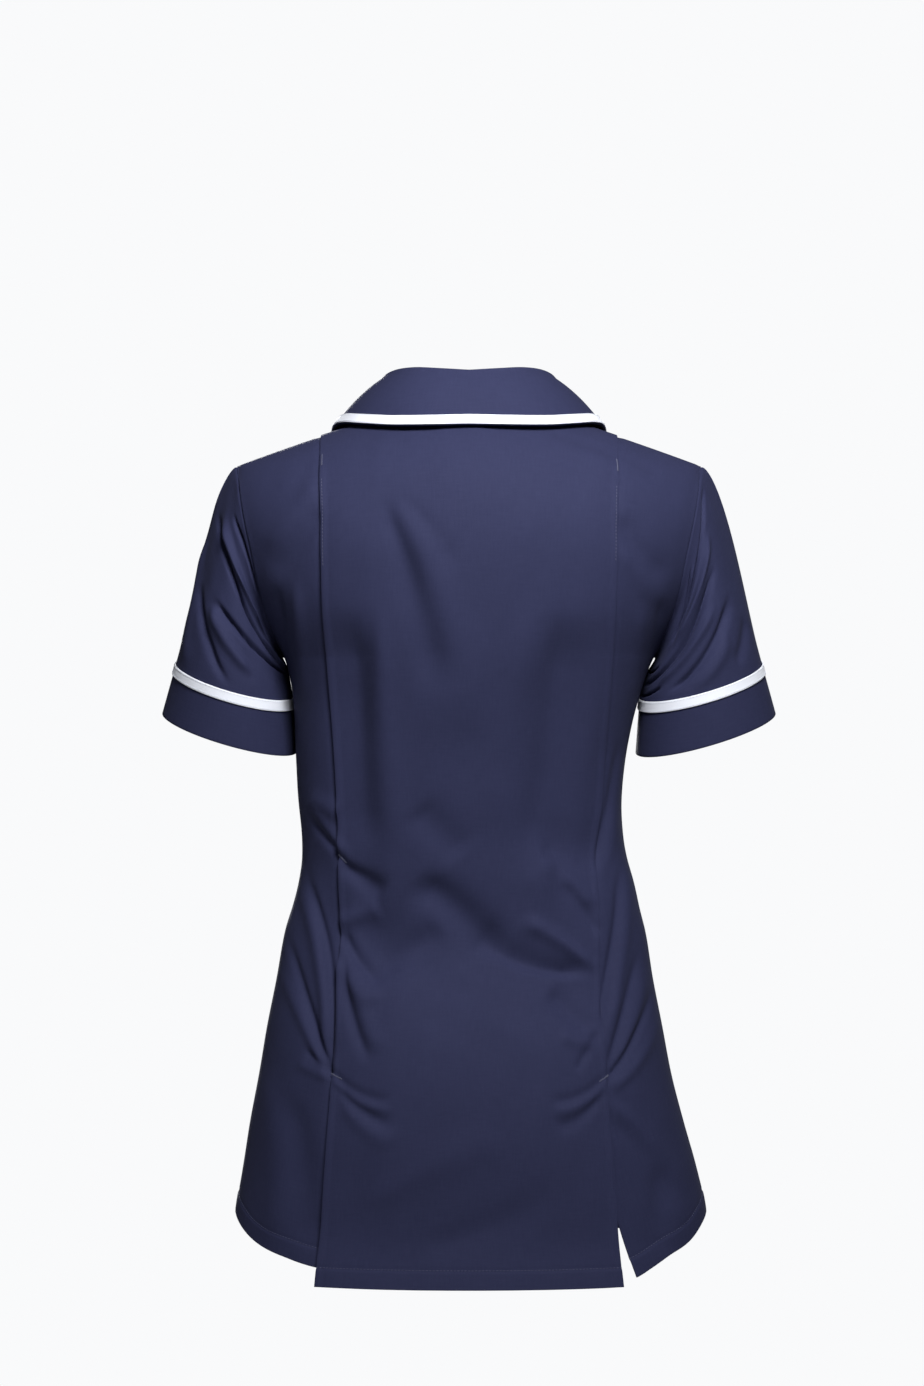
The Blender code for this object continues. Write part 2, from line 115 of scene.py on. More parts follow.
room = bpy.data.worlds.new("pale_room")
bpy.context.scene.world = room
room.use_nodes = True
room_tree = room.node_tree
room_shade = room_tree.nodes["Background"]
set_values(room_shade, {"Color": ROOM_COLOUR, "Strength": ROOM_LIGHT})
room_wall = add_node(room_tree, "ShaderNodeBackground", (0, -200), {
    "Color": ROOM_COLOUR, "Strength": ROOM_SEEN})
room_ray = add_node(room_tree, "ShaderNodeLightPath", (0, 200))
room_mix = add_node(room_tree, "ShaderNodeMixShader", (250, 0), {
    "Fac": room_ray.outputs["Is Camera Ray"],
    1: room_shade.outputs["Background"],
    2: room_wall.outputs["Background"],
})
set_values(room_tree.nodes["World Output"], {"Surface": room_mix.outputs["Shader"]})

for light_name, light_row in SOFT_LIGHTS.items():
    light_data = bpy.data.lights.new(light_name, "AREA")
    light_data.size = light_row["size"]
    light_data.energy = light_row["power"]
    light = put_in_scene(light_name, light_data)
    light.visible_camera = False
    light.location = light_row["place"]
    light.rotation_euler = (Vector(light_row["aim"]) - light.location).to_track_quat("-Z", "Y").to_euler()

floor_mesh = bpy.data.meshes.new("studio_floor")
half_floor = FLOOR_SIZE / 2
floor_corners = [(x, y, FLOOR_HEIGHT) for x, y in
                 ((-half_floor, -half_floor), (half_floor, -half_floor),
                  (half_floor, half_floor), (-half_floor, half_floor))]
floor_mesh.from_pydata(floor_corners, [], [(0, 1, 2, 3)])
studio_floor = put_in_scene("studio_floor", floor_mesh)
floor_paint, floor_tree, floor_shader = new_material("floor_paint")
floor_ray = add_node(floor_tree, "ShaderNodeLightPath", (-600, -200))
set_values(floor_shader, {
    "Base Color": FLOOR_COLOUR,
    "Roughness": FLOOR_ROUGHNESS,
    "Emission Color": FLOOR_COLOUR,
    "Emission Strength": math_node(floor_tree, (-400, -200), "MULTIPLY", floor_ray.outputs["Is Camera Ray"],
                                   FLOOR_GLOW),
})
floor_mesh.materials.append(floor_paint)


# The two side back panels: navy polyester-cotton twill, cut from the hem to the shoulder. Their inner edges
# run behind the centre panel's pleats, and their outer edges are sewn to the fronts and the sleeves.
MM = 0.001
CLOTH = 1.4
SEAM_GAP = 0.3
SIDE_SEAM_SHIFT = 0.04
UNDERARM = -186.0
LOWEST_ROW = -680.0
WIDTHS = {
    "height": (-680, -624, -596, -557, -519, -480, -442, -404, -384, -365, -346, -327, -288, -250, -225,
               -205, -186, -171, -156, -130, -96, -56, 0),
    "half_width": (193, 188, 182.5, 174, 165.5, 158.5, 151, 144.5, 139, 134.5, 130.5, 129, 130.5, 134, 137.5,
                   141.8, 147.8, 153.4, 158.5, 165, 171, 178, 185),
}
SWAY = {
    "height": (-680, -620, -590, -555, -510, -400, -365, -330, -300, -267, -238, -214, -186),
    "shift": (-0.5, -1.4, -0.4, 1.8, 3.2, 3.0, 2.2, 5.0, 7.2, 6.6, 4.4, 2.0, 0),
}
DEPTHS = {
    "height": (-680, -640, -600, -560, -519, -480, -442, -404, -384, -350, -327, -269, -220, -186, -150, -110,
               -60, 0),
    "back": (122, 118.5, 117, 118, 115.5, 108, 95.5, 84.5, 82.5, 85, 87.5, 94.5, 104, 112, 118, 121,
             121, 121),
    "front": (124, 124, 124, 123.2, 122, 119.8, 117, 113, 111, 109.4, 109, 118, 130, 133, 128, 117, 104, 92),
}
SIDE_ROUNDNESS = 2.2
ARMHOLE_PROUD = 0.45
SIDE_SEAM_SINK = 0.4
SEAM_SOFTNESS = 2.4
ARMHOLE_DEPTH = 57.0
ARMHOLE_ROUNDNESS = 0.75
SHOULDER_TURN = {"back": (0.4, 2.4), "front": (0.5, 2.2)}
RIDGE_TOP = 40.6
RIDGE_SLOPE = 0.375
RIDGE_ROUNDING = 60.0
RIDGE_SPREAD = 1.6
RIDGE_CLOSED = 1 - 1e-9
PLEATS = {
    "height": (-676, -592, -511, -453, -384, -343, -282, -220, -173, -110, -55, 0),
    "half_spacing": (117.7, 111.5, 106.3, 103.6, 101.2, 102.1, 105, 109, 112, 114.2, 115.3, 117.5),
}
PLEAT_UNDERLAP = 16.0
UNDERLAP_SINK = 1.1
VENT_TOP = -511.0
NAVY = (0.0216, 0.0245, 0.063, 1.0)
NAVY_DEEP = (0.0164, 0.0184, 0.0485, 1.0)
NAVY_YARN = (0.036, 0.040, 0.092, 1.0)
TWILL_PITCH = 0.00072
TWILL_ANGLE = math.radians(62)
WEAVE_HEIGHT = 0.0002
HEM_SIDE = 188.0
LEFT_HEM = {"across": (95, 117, 140, 167, 180, 190), "height": (-663, -661.5, -656, -646, -636, -624)}
RIGHT_HEM = {"across": (95, 131, 145, 158, 175, 190), "height": (-673, -670, -663, -655, -644, -624)}
RIGHT_VENT = {"height": (-676, -670, -627, -580, -511), "across": (133, 131, 117, 104, 92)}
HEM_DEPTH = 15.0
HEM_RISE = 0.5
HEM_GROOVE = 0.7
GRID_STEP = 2.3
HEM_STEP = 1.2
CREASE_FADE = 0.3
SLACK_HEIGHT = 0.11
SLACK_WAVES = 9
SHOULDER_FADE = (4, 30)
NORMAL_REACH = 0.985
HEM_GRID = 5.0
ARMHOLE_ROWS = 72
SIDE_COLUMNS = 60

# The creases. The columns are the start and the end as (across, height) in millimetres, how far the
# middle bows to the side, the half width at each end, the depth, where a minus pushes the cloth in and a plus
# raises it, and how much one of the two banks is steeper than the other.
BACK_CREASES = (
    ((70, -70), (24, -205), 0, (17, 17), -2.2, 0),
    ((112, -345), (106, -455), 0, (12, 12), -3.0, 0),
    ((140, -395), (112, -500), 0, (12, 12), -2.6, 0),
    ((-112, -250), (-100, -345), 0, (13, 13), -3.0, 0),
    ((-142, -455), (-110, -510), 0, (12, 12), -2.4, 0),
    ((84, -345), (70, -440), 0, (14, 14), -2.4, 0),
)
FINE_BACK_CREASES = (
    # upper back
    ((62, -76), (26, -198), 3, (6, 16), -3.0, 0),
    ((47, -80), (4, -232), 6, (10, 24), 3.2, 0),
    ((50, -64), (13, -114), 2, (5, 9), -1.3, 0),
    ((92, -168), (84, -330), 0, (15, 20), -6.6, -0.2),
    ((69, -162), (62, -320), 0, (7, 14), 2.6, 0),
    ((-74, -172), (-58, -340), 0, (18, 27), -7.6, 0.15),
    ((-44, -156), (-22, -310), 0, (10, 18), 2.6, 0),
    ((-66, -12), (-114, -30), 2, (3, 4), -1.3, 0),
    ((-70, -24), (-116, -40), 2, (6, 7), 1.0, 0),
    ((-120, -26), (-150, -42), 0, (3, 5), -1.2, 0),
    ((-119, -80), (-152, -122), -3, (7, 10), -3.0, 0),
    ((-122, -104), (-150, -142), -2, (7, 9), 1.6, 0),
    ((122, -50), (158, -97), 3, (7, 9), 2.2, 0),
    ((118, -74), (152, -118), 3, (7, 9), -2.4, 0),
    ((151, -138), (146, -206), 0, (7, 6), -4.6, -0.3),
    ((135, -134), (133, -214), 0, (5, 7), 2.6, 0),
    ((-152, -146), (-146, -212), 0, (6, 6), -4.0, 0.3),
    ((-136, -150), (-133, -216), 0, (6, 8), 2.0, 0),
    # across the waist
    ((104, -402), (-104, -452), 0, (26, 32), -7.5, 0),
    ((-64, -350), (-114, -338), 0, (30, 30), -6.0, 0),
    # waist, by the left pleat
    ((127, -298), (104, -308), 0, (8, 7), 2.4, 0),
    ((125, -315), (97, -348), 0, (3, 3), -2.4, 0),
    ((122, -308), (95, -341), 0, (3.5, 4), 1.4, 0),
    ((98, -350), (68, -370), 0, (4.5, 10), -4.2, 0),
    ((101, -394), (72, -383), 0, (5, 8), 2.4, 0),
    ((100, -404), (72, -438), -3, (3.5, 6), -3.4, 0.3),
    ((102, -425), (74, -455), -3, (6, 9), 3.0, 0),
    ((98, -426), (80, -495), -3, (3.2, 5), -3.0, 0),
    ((88, -442), (70, -490), -2, (6, 8), 1.8, 0),
    # left side panel
    ((127, -364), (107, -507), 8, (3.4, 3), -3.4, 0),
    ((135, -366), (112, -488), 6, (6, 4.5), 3.2, 0),
    ((143, -412), (108.5, -509), 0, (3.4, 2.6), -3.2, 0),
    ((149, -436), (114, -507), 1, (6, 3.6), 2.6, 0),
    ((127, -494), (108.5, -510), 0, (2.8, 2.4), -2.0, 0),
    ((133, -505), (112, -514), 0, (4, 3), 1.3, 0),
    # below the left vent's top
    ((107, -508), (64, -530), -5, (2.8, 5), -1.5, 0),
    ((106, -513), (66, -537), -5, (2.6, 4.5), 1.5, 0),
    ((99, -523), (62, -549), -3, (3, 7), -2.3, 0),
    ((95, -536), (60, -562), -3, (5, 9), 1.6, 0),
    # middle
    ((39, -306), (8, -338), 0, (13, 15), -3.0, 0),
    ((36, -364), (-16, -412), 3, (13, 15), -6.4, 0),
    ((-12, -408), (-86, -432), -5, (11, 5), -6.0, 0.35),
    ((-46, -394), (-95, -427), 2, (7, 4), 4.0, 0),
    ((22, -426), (-70, -453), -2, (15, 13), 2.0, 0),
    ((70, -428), (24, -400), 0, (9, 10), -2.8, 0),
    ((-64, -344), (-95, -380), 0, (9, 6), 2.8, 0),
    ((-78, -366), (-101, -402), 0, (5, 4), -2.2, 0),
    ((-66, -448), (-93, -475), 0, (8, 7), -2.8, 0),
    ((-72, -481), (-96, -489), 0, (6, 5), 2.2, 0),
    ((-84, -506), (-99, -480), 0, (3, 4), -1.9, 0),
    ((35, -466), (-30, -492), 3, (10, 18), -1.4, 0),
    # right side panel
    ((-118, -260), (-103, -347), 0, (3, 3), -2.8, 0),
    ((-125, -268), (-110, -352), 0, (5, 5), 2.4, 0),
    ((-121, -355), (-104, -472), 1, (3.4, 3), -2.8, 0),
    ((-128, -368), (-112, -472), 1, (6, 5), 3.0, 0),
    ((-133, -424), (-109, -504), 1, (3.4, 2.8), -2.5, 0),
    ((-139, -438), (-116, -502), 2, (5.5, 4), 2.8, 0),
    ((-146, -450), (-108, -516), 3, (3.2, 2.4), -3.2, 0),
    ((-152, -470), (-115, -521), 4, (6, 4), 2.4, 0),
    # below the right vent's top
    ((-107, -511), (-66, -531), 5, (2.8, 5), -1.5, 0),
    ((-106, -516), (-68, -539), 5, (2.6, 5), 1.5, 0),
    ((-100, -530), (-70, -551), 3, (3, 7), -2.2, 0),
    ((-111, -534), (-168, -600), 3, (5, 9), 2.2, 0),
    ((-114, -549), (-160, -614), 3, (7, 11), -2.0, 0),
    # hem's soft swings
    ((110, -640), (-120, -644), 0, (34, 34), -5.0, 0),
    ((70, -606), (-20, -560), 4, (9, 16), 1.6, 0),
    ((30, -642), (-70, -600), -4, (9, 15), -1.5, 0),
    ((140, -536), (126, -640), 4, (10, 14), -2.6, 0),
    ((162, -520), (154, -636), 5, (10, 15), 2.6, 0),
    ((-150, -590), (-146, -650), 0, (9, 12), -1.8, 0),
)
FRONT_CREASES = (
    ((150, -168), (82, -236), -8, (6, 14), -6.4, 0),
    ((146, -186), (96, -262), -6, (7, 15), 4.3, 0),
    ((-152, -164), (-78, -222), 8, (6, 13), -5.8, 0),
    ((-146, -190), (-100, -270), 7, (7, 15), 4.1, 0),
    ((128, -300), (70, -352), 5, (5, 12), -6.4, 0),
    ((130, -326), (84, -396), 6, (5, 12), -5.5, 0),
    ((-128, -312), (-64, -344), -4, (5, 12), -6.0, 0),
    ((-130, -338), (-90, -420), -6, (5, 12), -5.5, 0),
    ((18, -312), (64, -352), 4, (4, 12), -4.6, 0),
    ((-18, -402), (-72, -432), 4, (4, 12), -4.3, 0),
    ((22, -494), (70, -560), -6, (5, 14), -3.7, 0),
    ((118, -420), (104, -560), 6, (9, 16), -5.5, 0),
    ((92, -430), (70, -610), 6, (10, 18), 3.7, 0),
    ((-122, -440), (-98, -590), -6, (9, 17), -5.2, 0),
    ((-94, -450), (-62, -612), -5, (10, 18), 3.7, 0),
    ((120, -70), (150, -140), 4, (6, 10), -4.3, 0),
    ((-122, -66), (-152, -128), -4, (6, 10), -4.1, 0),
    ((54, -240), (30, -310), 4, (9, 14), -3.7, 0),
    ((-56, -252), (-30, -322), -4, (9, 14), -3.5, 0),
)


def along(table, column, at):
    """A table's column, read on a smooth curve through its rows at values of the table's first column."""
    keys = np.array(list(table.values())[0], float)
    values = np.array(table[column], float)
    at = np.clip(at, keys.min(), keys.max())
    if keys[0] > keys[-1]:
        keys = keys[::-1]
        values = values[::-1]
    steps = np.diff(values) / np.diff(keys)
    slopes = np.concatenate([[steps[0]], (steps[1:] + steps[:-1]) / 2, [steps[-1]]])
    i = np.clip(np.searchsorted(keys, at) - 1, 0, len(keys) - 2)
    span = keys[i + 1] - keys[i]
    t = (at - keys[i]) / span
    return (
        values[i] * (1 + 2 * t) * (1 - t) ** 2
        + slopes[i] * span * t * (1 - t) ** 2
        + values[i + 1] * t * t * (3 - 2 * t)
        + slopes[i + 1] * span * t * t * (t - 1)
    )


def smooth_step(value, low, high):
    """Rises softly from 0 at one value to 1 at another."""
    t = np.clip((value - low) / (high - low), 0, 1)
    return t * t * (3 - 2 * t)


def crease_relief(creases, across, height):
    """How far a table of creases raises the cloth, each soft across and fading out at its ends."""
    relief = np.zeros(np.broadcast(across, height).shape)
    for start, end, bow, widths, depth, lean in creases:
        run = np.subtract(end, start).astype(float)
        length = np.hypot(*run)
        gap_x = across - start[0]
        gap_z = height - start[1]
        t = (gap_x * run[0] + gap_z * run[1]) / length**2
        off = (gap_x * run[1] - gap_z * run[0]) / length
        inside = np.clip(t, 0, 1)
        off = off - bow * 4 * inside * (1 - inside)
        width = widths[0] + (widths[1] - widths[0]) * inside
        width = width * (1 + lean * np.sign(off))
        fade = np.clip(np.minimum(t + CREASE_FADE / 2, 1 + CREASE_FADE / 2 - t) / CREASE_FADE, 0, 1)
        relief += depth * np.exp(-((off / width) ** 2)) * fade * fade * (3 - 2 * fade)
    return relief


def slack(across, height, seed):
    """The cloth's broad, uneven looseness, under a millimetre high."""
    waves = np.random.default_rng(seed).uniform(-1, 1, (SLACK_WAVES, 4))
    relief = 0.0
    for turn, tilt, phase, size in waves:
        pitch = 55 + 38 * size
        angle = turn * math.pi
        run = across * math.cos(angle) + height * math.sin(angle) * (0.6 + 0.3 * tilt)
        relief = relief + np.sin(run / pitch * 2 * math.pi + phase * math.pi)
    return relief * SLACK_HEIGHT


def side_edge(hand, height):
    """Where the side seam or the armhole seam lies, on the left (1) or the right (-1)."""
    return along(SWAY, "shift", height) + hand * along(WIDTHS, "half_width", height)


def body_surface(side, across, height):
    """Points of the tunic's outer surface, in millimetres. side is 1 on the back and -1 on the front.

    Up to the underarm, height is the real height. Above it the rows slope: height 0 is the shoulder line.
    """
    across, height = np.broadcast_arrays(across, height)
    rise = np.maximum(0.0, (height - UNDERARM) / -UNDERARM)
    half = along(WIDTHS, "half_width", height)
    middle = along(DEPTHS, "back" if side > 0 else "front", height)
    round_from, power = SHOULDER_TURN["back" if side > 0 else "front"]
    over = np.clip((rise - round_from) / (1 - round_from), 0, RIDGE_CLOSED)
    middle = middle * (1 - over**power) ** (1 / power)
    edge = ARMHOLE_DEPTH * np.maximum(0.0, 4 * rise * (1 - rise)) ** ARMHOLE_ROUNDNESS
    edge_share = (1 - np.minimum(edge / middle, 0.9) ** SIDE_ROUNDNESS) ** (1 / SIDE_ROUNDNESS)
    u = np.minimum(1.0, np.abs(across - along(SWAY, "shift", height)) / half)
    depth = middle * np.maximum(0.0, 1 - (u * edge_share) ** SIDE_ROUNDNESS) ** (1 / SIDE_ROUNDNESS)
    z = height + rise**RIDGE_SPREAD * (RIDGE_TOP - RIDGE_SLOPE * np.hypot(across, RIDGE_ROUNDING))
    if side > 0:
        depth = depth + crease_relief(BACK_CREASES, across, z) * (1 - u**6)
    return np.stack([across, side * depth, z], axis=-1)


def unit(vectors):
    """Vectors of length 1."""
    return vectors / np.linalg.norm(vectors, axis=-1, keepdims=True)


def body_normal(side, across, height):
    """Outward directions of the tunic's surface."""
    reach = NORMAL_REACH * along(WIDTHS, "half_width", height)
    shift = along(SWAY, "shift", height)
    inner = np.clip(across, shift - reach, shift + reach)
    low = np.clip(height - 2, LOWEST_ROW, -1)
    high = np.clip(height + 2, LOWEST_ROW, -1)
    ahead = body_surface(side, inner + 1, height) - body_surface(side, inner - 1, height)
    up = body_surface(side, inner, high) - body_surface(side, inner, low)
    return unit(np.cross(up, ahead) * side)


def on_body(side, across, height, lift):
    """Points on the tunic, moved out by a lift, with the creases of that side pressed in."""
    across, height = np.broadcast_arrays(across, height)
    base = body_surface(side, across, height)
    creases = FINE_BACK_CREASES if side > 0 else FRONT_CREASES
    half = along(WIDTHS, "half_width", height)
    near_seam = np.clip(np.abs(across - along(SWAY, "shift", height)) / half, 0, 1)
    near_shoulder = smooth_step(-height, *SHOULDER_FADE)
    relief = crease_relief(creases, base[..., 0], base[..., 2]) + slack(across, height, 3 if side > 0 else 8)
    relief = relief * (1 - near_seam**10) * near_shoulder
    from_seam = (1 - near_seam) * half
    above = smooth_step(height, UNDERARM - 6, UNDERARM + 6) * near_shoulder
    edge = (ARMHOLE_PROUD + SIDE_SEAM_SINK) * above - SIDE_SEAM_SINK
    relief = relief + edge * np.exp(-((from_seam / SEAM_SOFTNESS) ** 2))
    return base + (lift + relief)[..., None] * body_normal(side, across, height)


def panel_rows(foot, top):
    """Heights of a panel's rows from its hem up: close in the hem, even above, closer at the armhole."""
    foot = np.asarray(foot, float)[..., None]
    top = np.asarray(top, float)[..., None]
    hem = foot + np.arange(0, HEM_DEPTH + HEM_GRID, HEM_STEP)
    middle_count = int((UNDERARM - foot.max() - HEM_DEPTH) / GRID_STEP)
    share = np.linspace(0, 1, middle_count)[1:]
    middle = hem[..., -1:] + (UNDERARM - hem[..., -1:]) * share
    turn = np.linspace(0, math.pi, ARMHOLE_ROWS)[1:]
    above = UNDERARM + (top - UNDERARM) * (1 - np.cos(turn)) / 2
    return np.concatenate([hem, middle, above], axis=-1)


def hem_relief(above_edge):
    """The turned-up hem: one more thickness below its stitching, and the groove that the stitches pull in."""
    doubled = HEM_RISE * (1 - smooth_step(above_edge, HEM_DEPTH, HEM_DEPTH + 1.5))
    return doubled - HEM_GROOVE * np.exp(-(((above_edge - HEM_DEPTH) / 1.3) ** 2))


def grid_measure(grid, axis, loop=False):
    """Mean running length of a grid of points along one of its axes, in metres."""
    if loop:
        grid = np.concatenate([grid, np.take(grid, [0], axis=axis)], axis=axis)
    steps = np.linalg.norm(np.diff(grid, axis=axis), axis=-1).mean(axis=1 - axis)
    return np.concatenate([[0], np.cumsum(steps)]) * MM


def made_plain(piece, name):
    """Turns a piece with modifiers into the plain mesh that they make."""
    graph = bpy.context.evaluated_depsgraph_get()
    finished = bpy.data.meshes.new_from_object(piece.evaluated_get(graph))
    piece.modifiers.clear()
    piece.data = finished
    finished.name = name
    return finished


def sewn_piece(name, grid, material, thickness=CLOTH, outward=False, loop=False, rim=0.45):
    """A sewn piece from a grid of points in millimetres: its wall, rounded rim, and UVs in metres."""
    rows, columns = grid.shape[:2]
    u = grid_measure(grid, 1, loop)
    v = grid_measure(grid, 0)
    faces = []
    corners = []
    for i in range(rows - 1):
        for j in range(columns if loop else columns - 1):
            k = (j + 1) % columns
            faces.append((i * columns + j, i * columns + k, (i + 1) * columns + k, (i + 1) * columns + j))
            corners += [(u[j], v[i]), (u[j + 1], v[i]), (u[j + 1], v[i + 1]), (u[j], v[i + 1])]
    mesh = bpy.data.meshes.new(name + "_sheet")
    mesh.from_pydata((grid.reshape(-1, 3) * MM).tolist(), [], faces)
    layer = mesh.uv_layers.new(name="cloth")
    layer.data.foreach_set("uv", np.array(corners, np.float32).ravel())
    mesh.shade_smooth()
    mesh.materials.append(material)
    piece = put_in_scene(name + "_cloth", mesh)
    wall = piece.modifiers.new("wall", "SOLIDIFY")
    wall.thickness = thickness * MM
    wall.offset = 1.0 if outward else -1.0
    wall.use_even_offset = True
    rounding = piece.modifiers.new("rim", "BEVEL")
    rounding.width = rim * MM
    rounding.segments = 2
    rounding.limit_method = "ANGLE"
    rounding.angle_limit = math.radians(60)
    made_plain(piece, name).shade_smooth()
    return piece


def dressed(piece, node):
    """Stands for its plain solid and rides with the tunic."""
    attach(piece, "root")
    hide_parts(node)


def mix_colours(tree, place, share, first, second):
    """A mix of two colours. They and the share may be values or sockets."""
    settings = {"data_type": "RGBA", 0: share, 6: first, 7: second}
    return add_node(tree, "ShaderNodeMix", place, settings).outputs[2]


def ranged(tree, place, value, limits):
    """A value brought into a range, for a shade or a roughness."""
    return add_node(tree, "ShaderNodeMapRange", place, {"Value": value, **limits}).outputs["Result"]


def woven_normal(tree, place, height, strength):
    """The normal that a weave's height gives."""
    settings = {"Strength": strength, "Distance": WEAVE_HEIGHT, "Height": height}
    return add_node(tree, "ShaderNodeBump", place, settings).outputs["Normal"]


def new_weave_group(name, inputs, outputs):
    """A shader node group with number sockets, and its two end nodes."""
    tree = bpy.data.node_groups.new(name, "ShaderNodeTree")
    for socket, value in inputs.items():
        tree.interface.new_socket(socket, in_out="INPUT", socket_type="NodeSocketFloat").default_value = value
    for socket in outputs:
        tree.interface.new_socket(socket, in_out="OUTPUT", socket_type="NodeSocketFloat")
    return tree, add_node(tree, "NodeGroupInput", (-1200, 0)), add_node(tree, "NodeGroupOutput", (900, 0))


def yarn_wave(tree, place, run, pitch):
    """A wave from -1 to 1 over each yarn of a pitch."""
    yarns = math_node(tree, place, "DIVIDE", run, pitch)
    turns = math_node(tree, (place[0] + 170, place[1]), "MULTIPLY", yarns, 2 * math.pi)
    return math_node(tree, (place[0] + 340, place[1]), "SINE", turns)


def slubs(tree, place, cloth_map, scale, values):
    """Uneven yarns: a noise drawn out along one way of the cloth."""
    drawn = add_node(tree, "ShaderNodeMapping", (place[0] - 200, place[1]), {
        "Vector": cloth_map, "Scale": scale})
    settings = {"Vector": drawn.outputs["Vector"], "Scale": 1.0, **values}
    return add_node(tree, "ShaderNodeTexNoise", place, settings).outputs["Fac"]


def build_twill_group():
    """Fine diagonal twill read from the piece's own UV map, with slubby yarns and soft uneven dyeing."""
    tree, given, put_out = new_weave_group("twill_weave", {"Yarn pitch": 0.0007, "Slub": 0.5},
                                           ("Height", "Yarn shade", "Dye shade"))
    cloth_map = add_node(tree, "ShaderNodeUVMap", (-1200, 300), {"uv_map": "cloth"}).outputs["UV"]
    turned = add_node(tree, "ShaderNodeVectorRotate", (-1000, 300), {
        "rotation_type": "Z_AXIS", "Vector": cloth_map, "Angle": TWILL_ANGLE})
    split = add_node(tree, "ShaderNodeSeparateXYZ", (-800, 300), {"Vector": turned.outputs["Vector"]})
    rib = yarn_wave(tree, (-600, 300), split.outputs["X"], given.outputs["Yarn pitch"])
    along_rib = slubs(tree, (-600, -60), cloth_map, (900.0, 70.0, 1.0), {"Detail": 3.0, "Roughness": 0.6})
    crossing = slubs(tree, (-600, -300), cloth_map, (80.0, 900.0, 1.0), {"Detail": 2.0})
    both = math_node(tree, (-400, -180), "ADD", along_rib, crossing)
    slubbed = math_node(tree, (-220, -100), "MULTIPLY", both, given.outputs["Slub"])
    height = math_node(tree, (0, 200), "MULTIPLY_ADD", rib, 0.35, slubbed)
    place = add_node(tree, "ShaderNodeTexCoord", (0, -300))
    dye = add_node(tree, "ShaderNodeTexNoise", (250, -300), {
        "Vector": place.outputs["Object"], "Scale": 14.0, "Detail": 4.0, "Roughness": 0.55})
    set_values(put_out, {
        "Height": height,
        "Yarn shade": ranged(tree, (250, 100), height, {"From Min": 0.1, "From Max": 1.2}),
        "Dye shade": dye.outputs["Fac"],
    })
    return tree


def make_navy_twill(twill):
    """Dark navy twill: matt yarns with a soft sheen along the rib."""
    material, tree, shader = new_material("navy_twill")
    shader.inputs["Sheen Weight"].default_value = 0.015
    shader.inputs["Sheen Roughness"].default_value = 0.42
    shader.inputs["Sheen Tint"].default_value = (0.55, 0.58, 0.8, 1.0)
    shader.inputs["Specular IOR Level"].default_value = 0.1
    weave = add_node(tree, "ShaderNodeGroup", (-900, 100), {
        "node_tree": twill, "Yarn pitch": TWILL_PITCH, "Slub": 0.5})
    dyed = mix_colours(tree, (-600, 250), weave.outputs["Dye shade"], NAVY_DEEP, NAVY)
    woven = mix_colours(tree, (-350, 250), weave.outputs["Yarn shade"], dyed, NAVY_YARN)
    set_values(shader, {
        "Base Color": mix_colours(tree, (-150, 250), 0.75, dyed, woven),
        "Roughness": ranged(tree, (-350, -20), weave.outputs["Yarn shade"], {"To Min": 0.86, "To Max": 0.7}),
        "Normal": woven_normal(tree, (-350, -300), weave.outputs["Height"], 0.3),
    })
    return material


twill_weave = build_twill_group()
navy_twill = make_navy_twill(twill_weave)


def pleat_line(height):
    """How far from the middle the pleats' edges lie."""
    return along(PLEATS, "half_spacing", height)


def side_back_foot(hand, shares):
    """Height of a side panel's hem at shares of its width. hand is 1 on the left."""
    hem = LEFT_HEM if hand > 0 else RIGHT_HEM
    start = pleat_line(PLEATS["height"][0]) - PLEAT_UNDERLAP if hand > 0 else RIGHT_VENT["across"][0]
    return along(hem, "height", start + shares * (HEM_SIDE - start))


def side_back_points(hand, shares, height, extra=0.0):
    """Points of a side panel, from behind the pleat (share 0) to the side seam and the armhole (share 1)."""
    inner = pleat_line(height) - PLEAT_UNDERLAP
    if hand < 0:
        inner = np.where(height < VENT_TOP, along(RIGHT_VENT, "across", height), inner)
    outer = hand * side_edge(hand, height)
    across = inner + shares[:, None] * (outer - inner)
    pleat = pleat_line(height)
    foot = side_back_foot(hand, shares)
    lift = -UNDERLAP_SINK * smooth_step(-across, -pleat - 7, -pleat + 2) + hem_relief(height - foot[:, None])
    return on_body(1, hand * across, height, lift + extra) + [0, SIDE_SEAM_SHIFT, 0]


def closer_at_ends(even, much):
    """Even shares of a width, drawn closer together towards 1 and -1."""
    return (1 - much) * even + much * np.sin(np.pi / 2 * even)


def side_back_grid(hand):
    """The side panel's points as rows up its height, outer face to the back."""
    shares = closer_at_ends(np.linspace(0, 1, SIDE_COLUMNS), 0.4)
    foot = side_back_foot(hand, shares)
    grid = side_back_points(hand, shares, panel_rows(foot, np.zeros_like(foot)))
    return grid if hand > 0 else grid[::-1]


side_back_left = sewn_piece("side_back_left", side_back_grid(1), navy_twill)
side_back_right = sewn_piece("side_back_right", side_back_grid(-1), navy_twill)
dressed(side_back_left, "side_back_left")
dressed(side_back_right, "side_back_right")


# The centre back panel: one length of the same twill whose long edges are folded under as pleats and lie on
# the side panels. Below the vents it hangs free as a flap, and its hem is turned up and stitched.
CENTRE_HEM = -675.5
FLAP_LIFT = 4.0
NECK_HALF_WIDTH = 78.0
BACK_NECK_DROP = 9.0
PLEAT_ROLL = 0.9
SHOULDER_SINK = 1.0
CENTRE_COLUMNS = 126


def neck_row(across):
    """Height of the back neck seam, on the tunic's own rows."""
    share = np.clip(np.abs(across) / NECK_HALF_WIDTH, 0, 1)
    return -BACK_NECK_DROP * np.sqrt(1 - share**2)


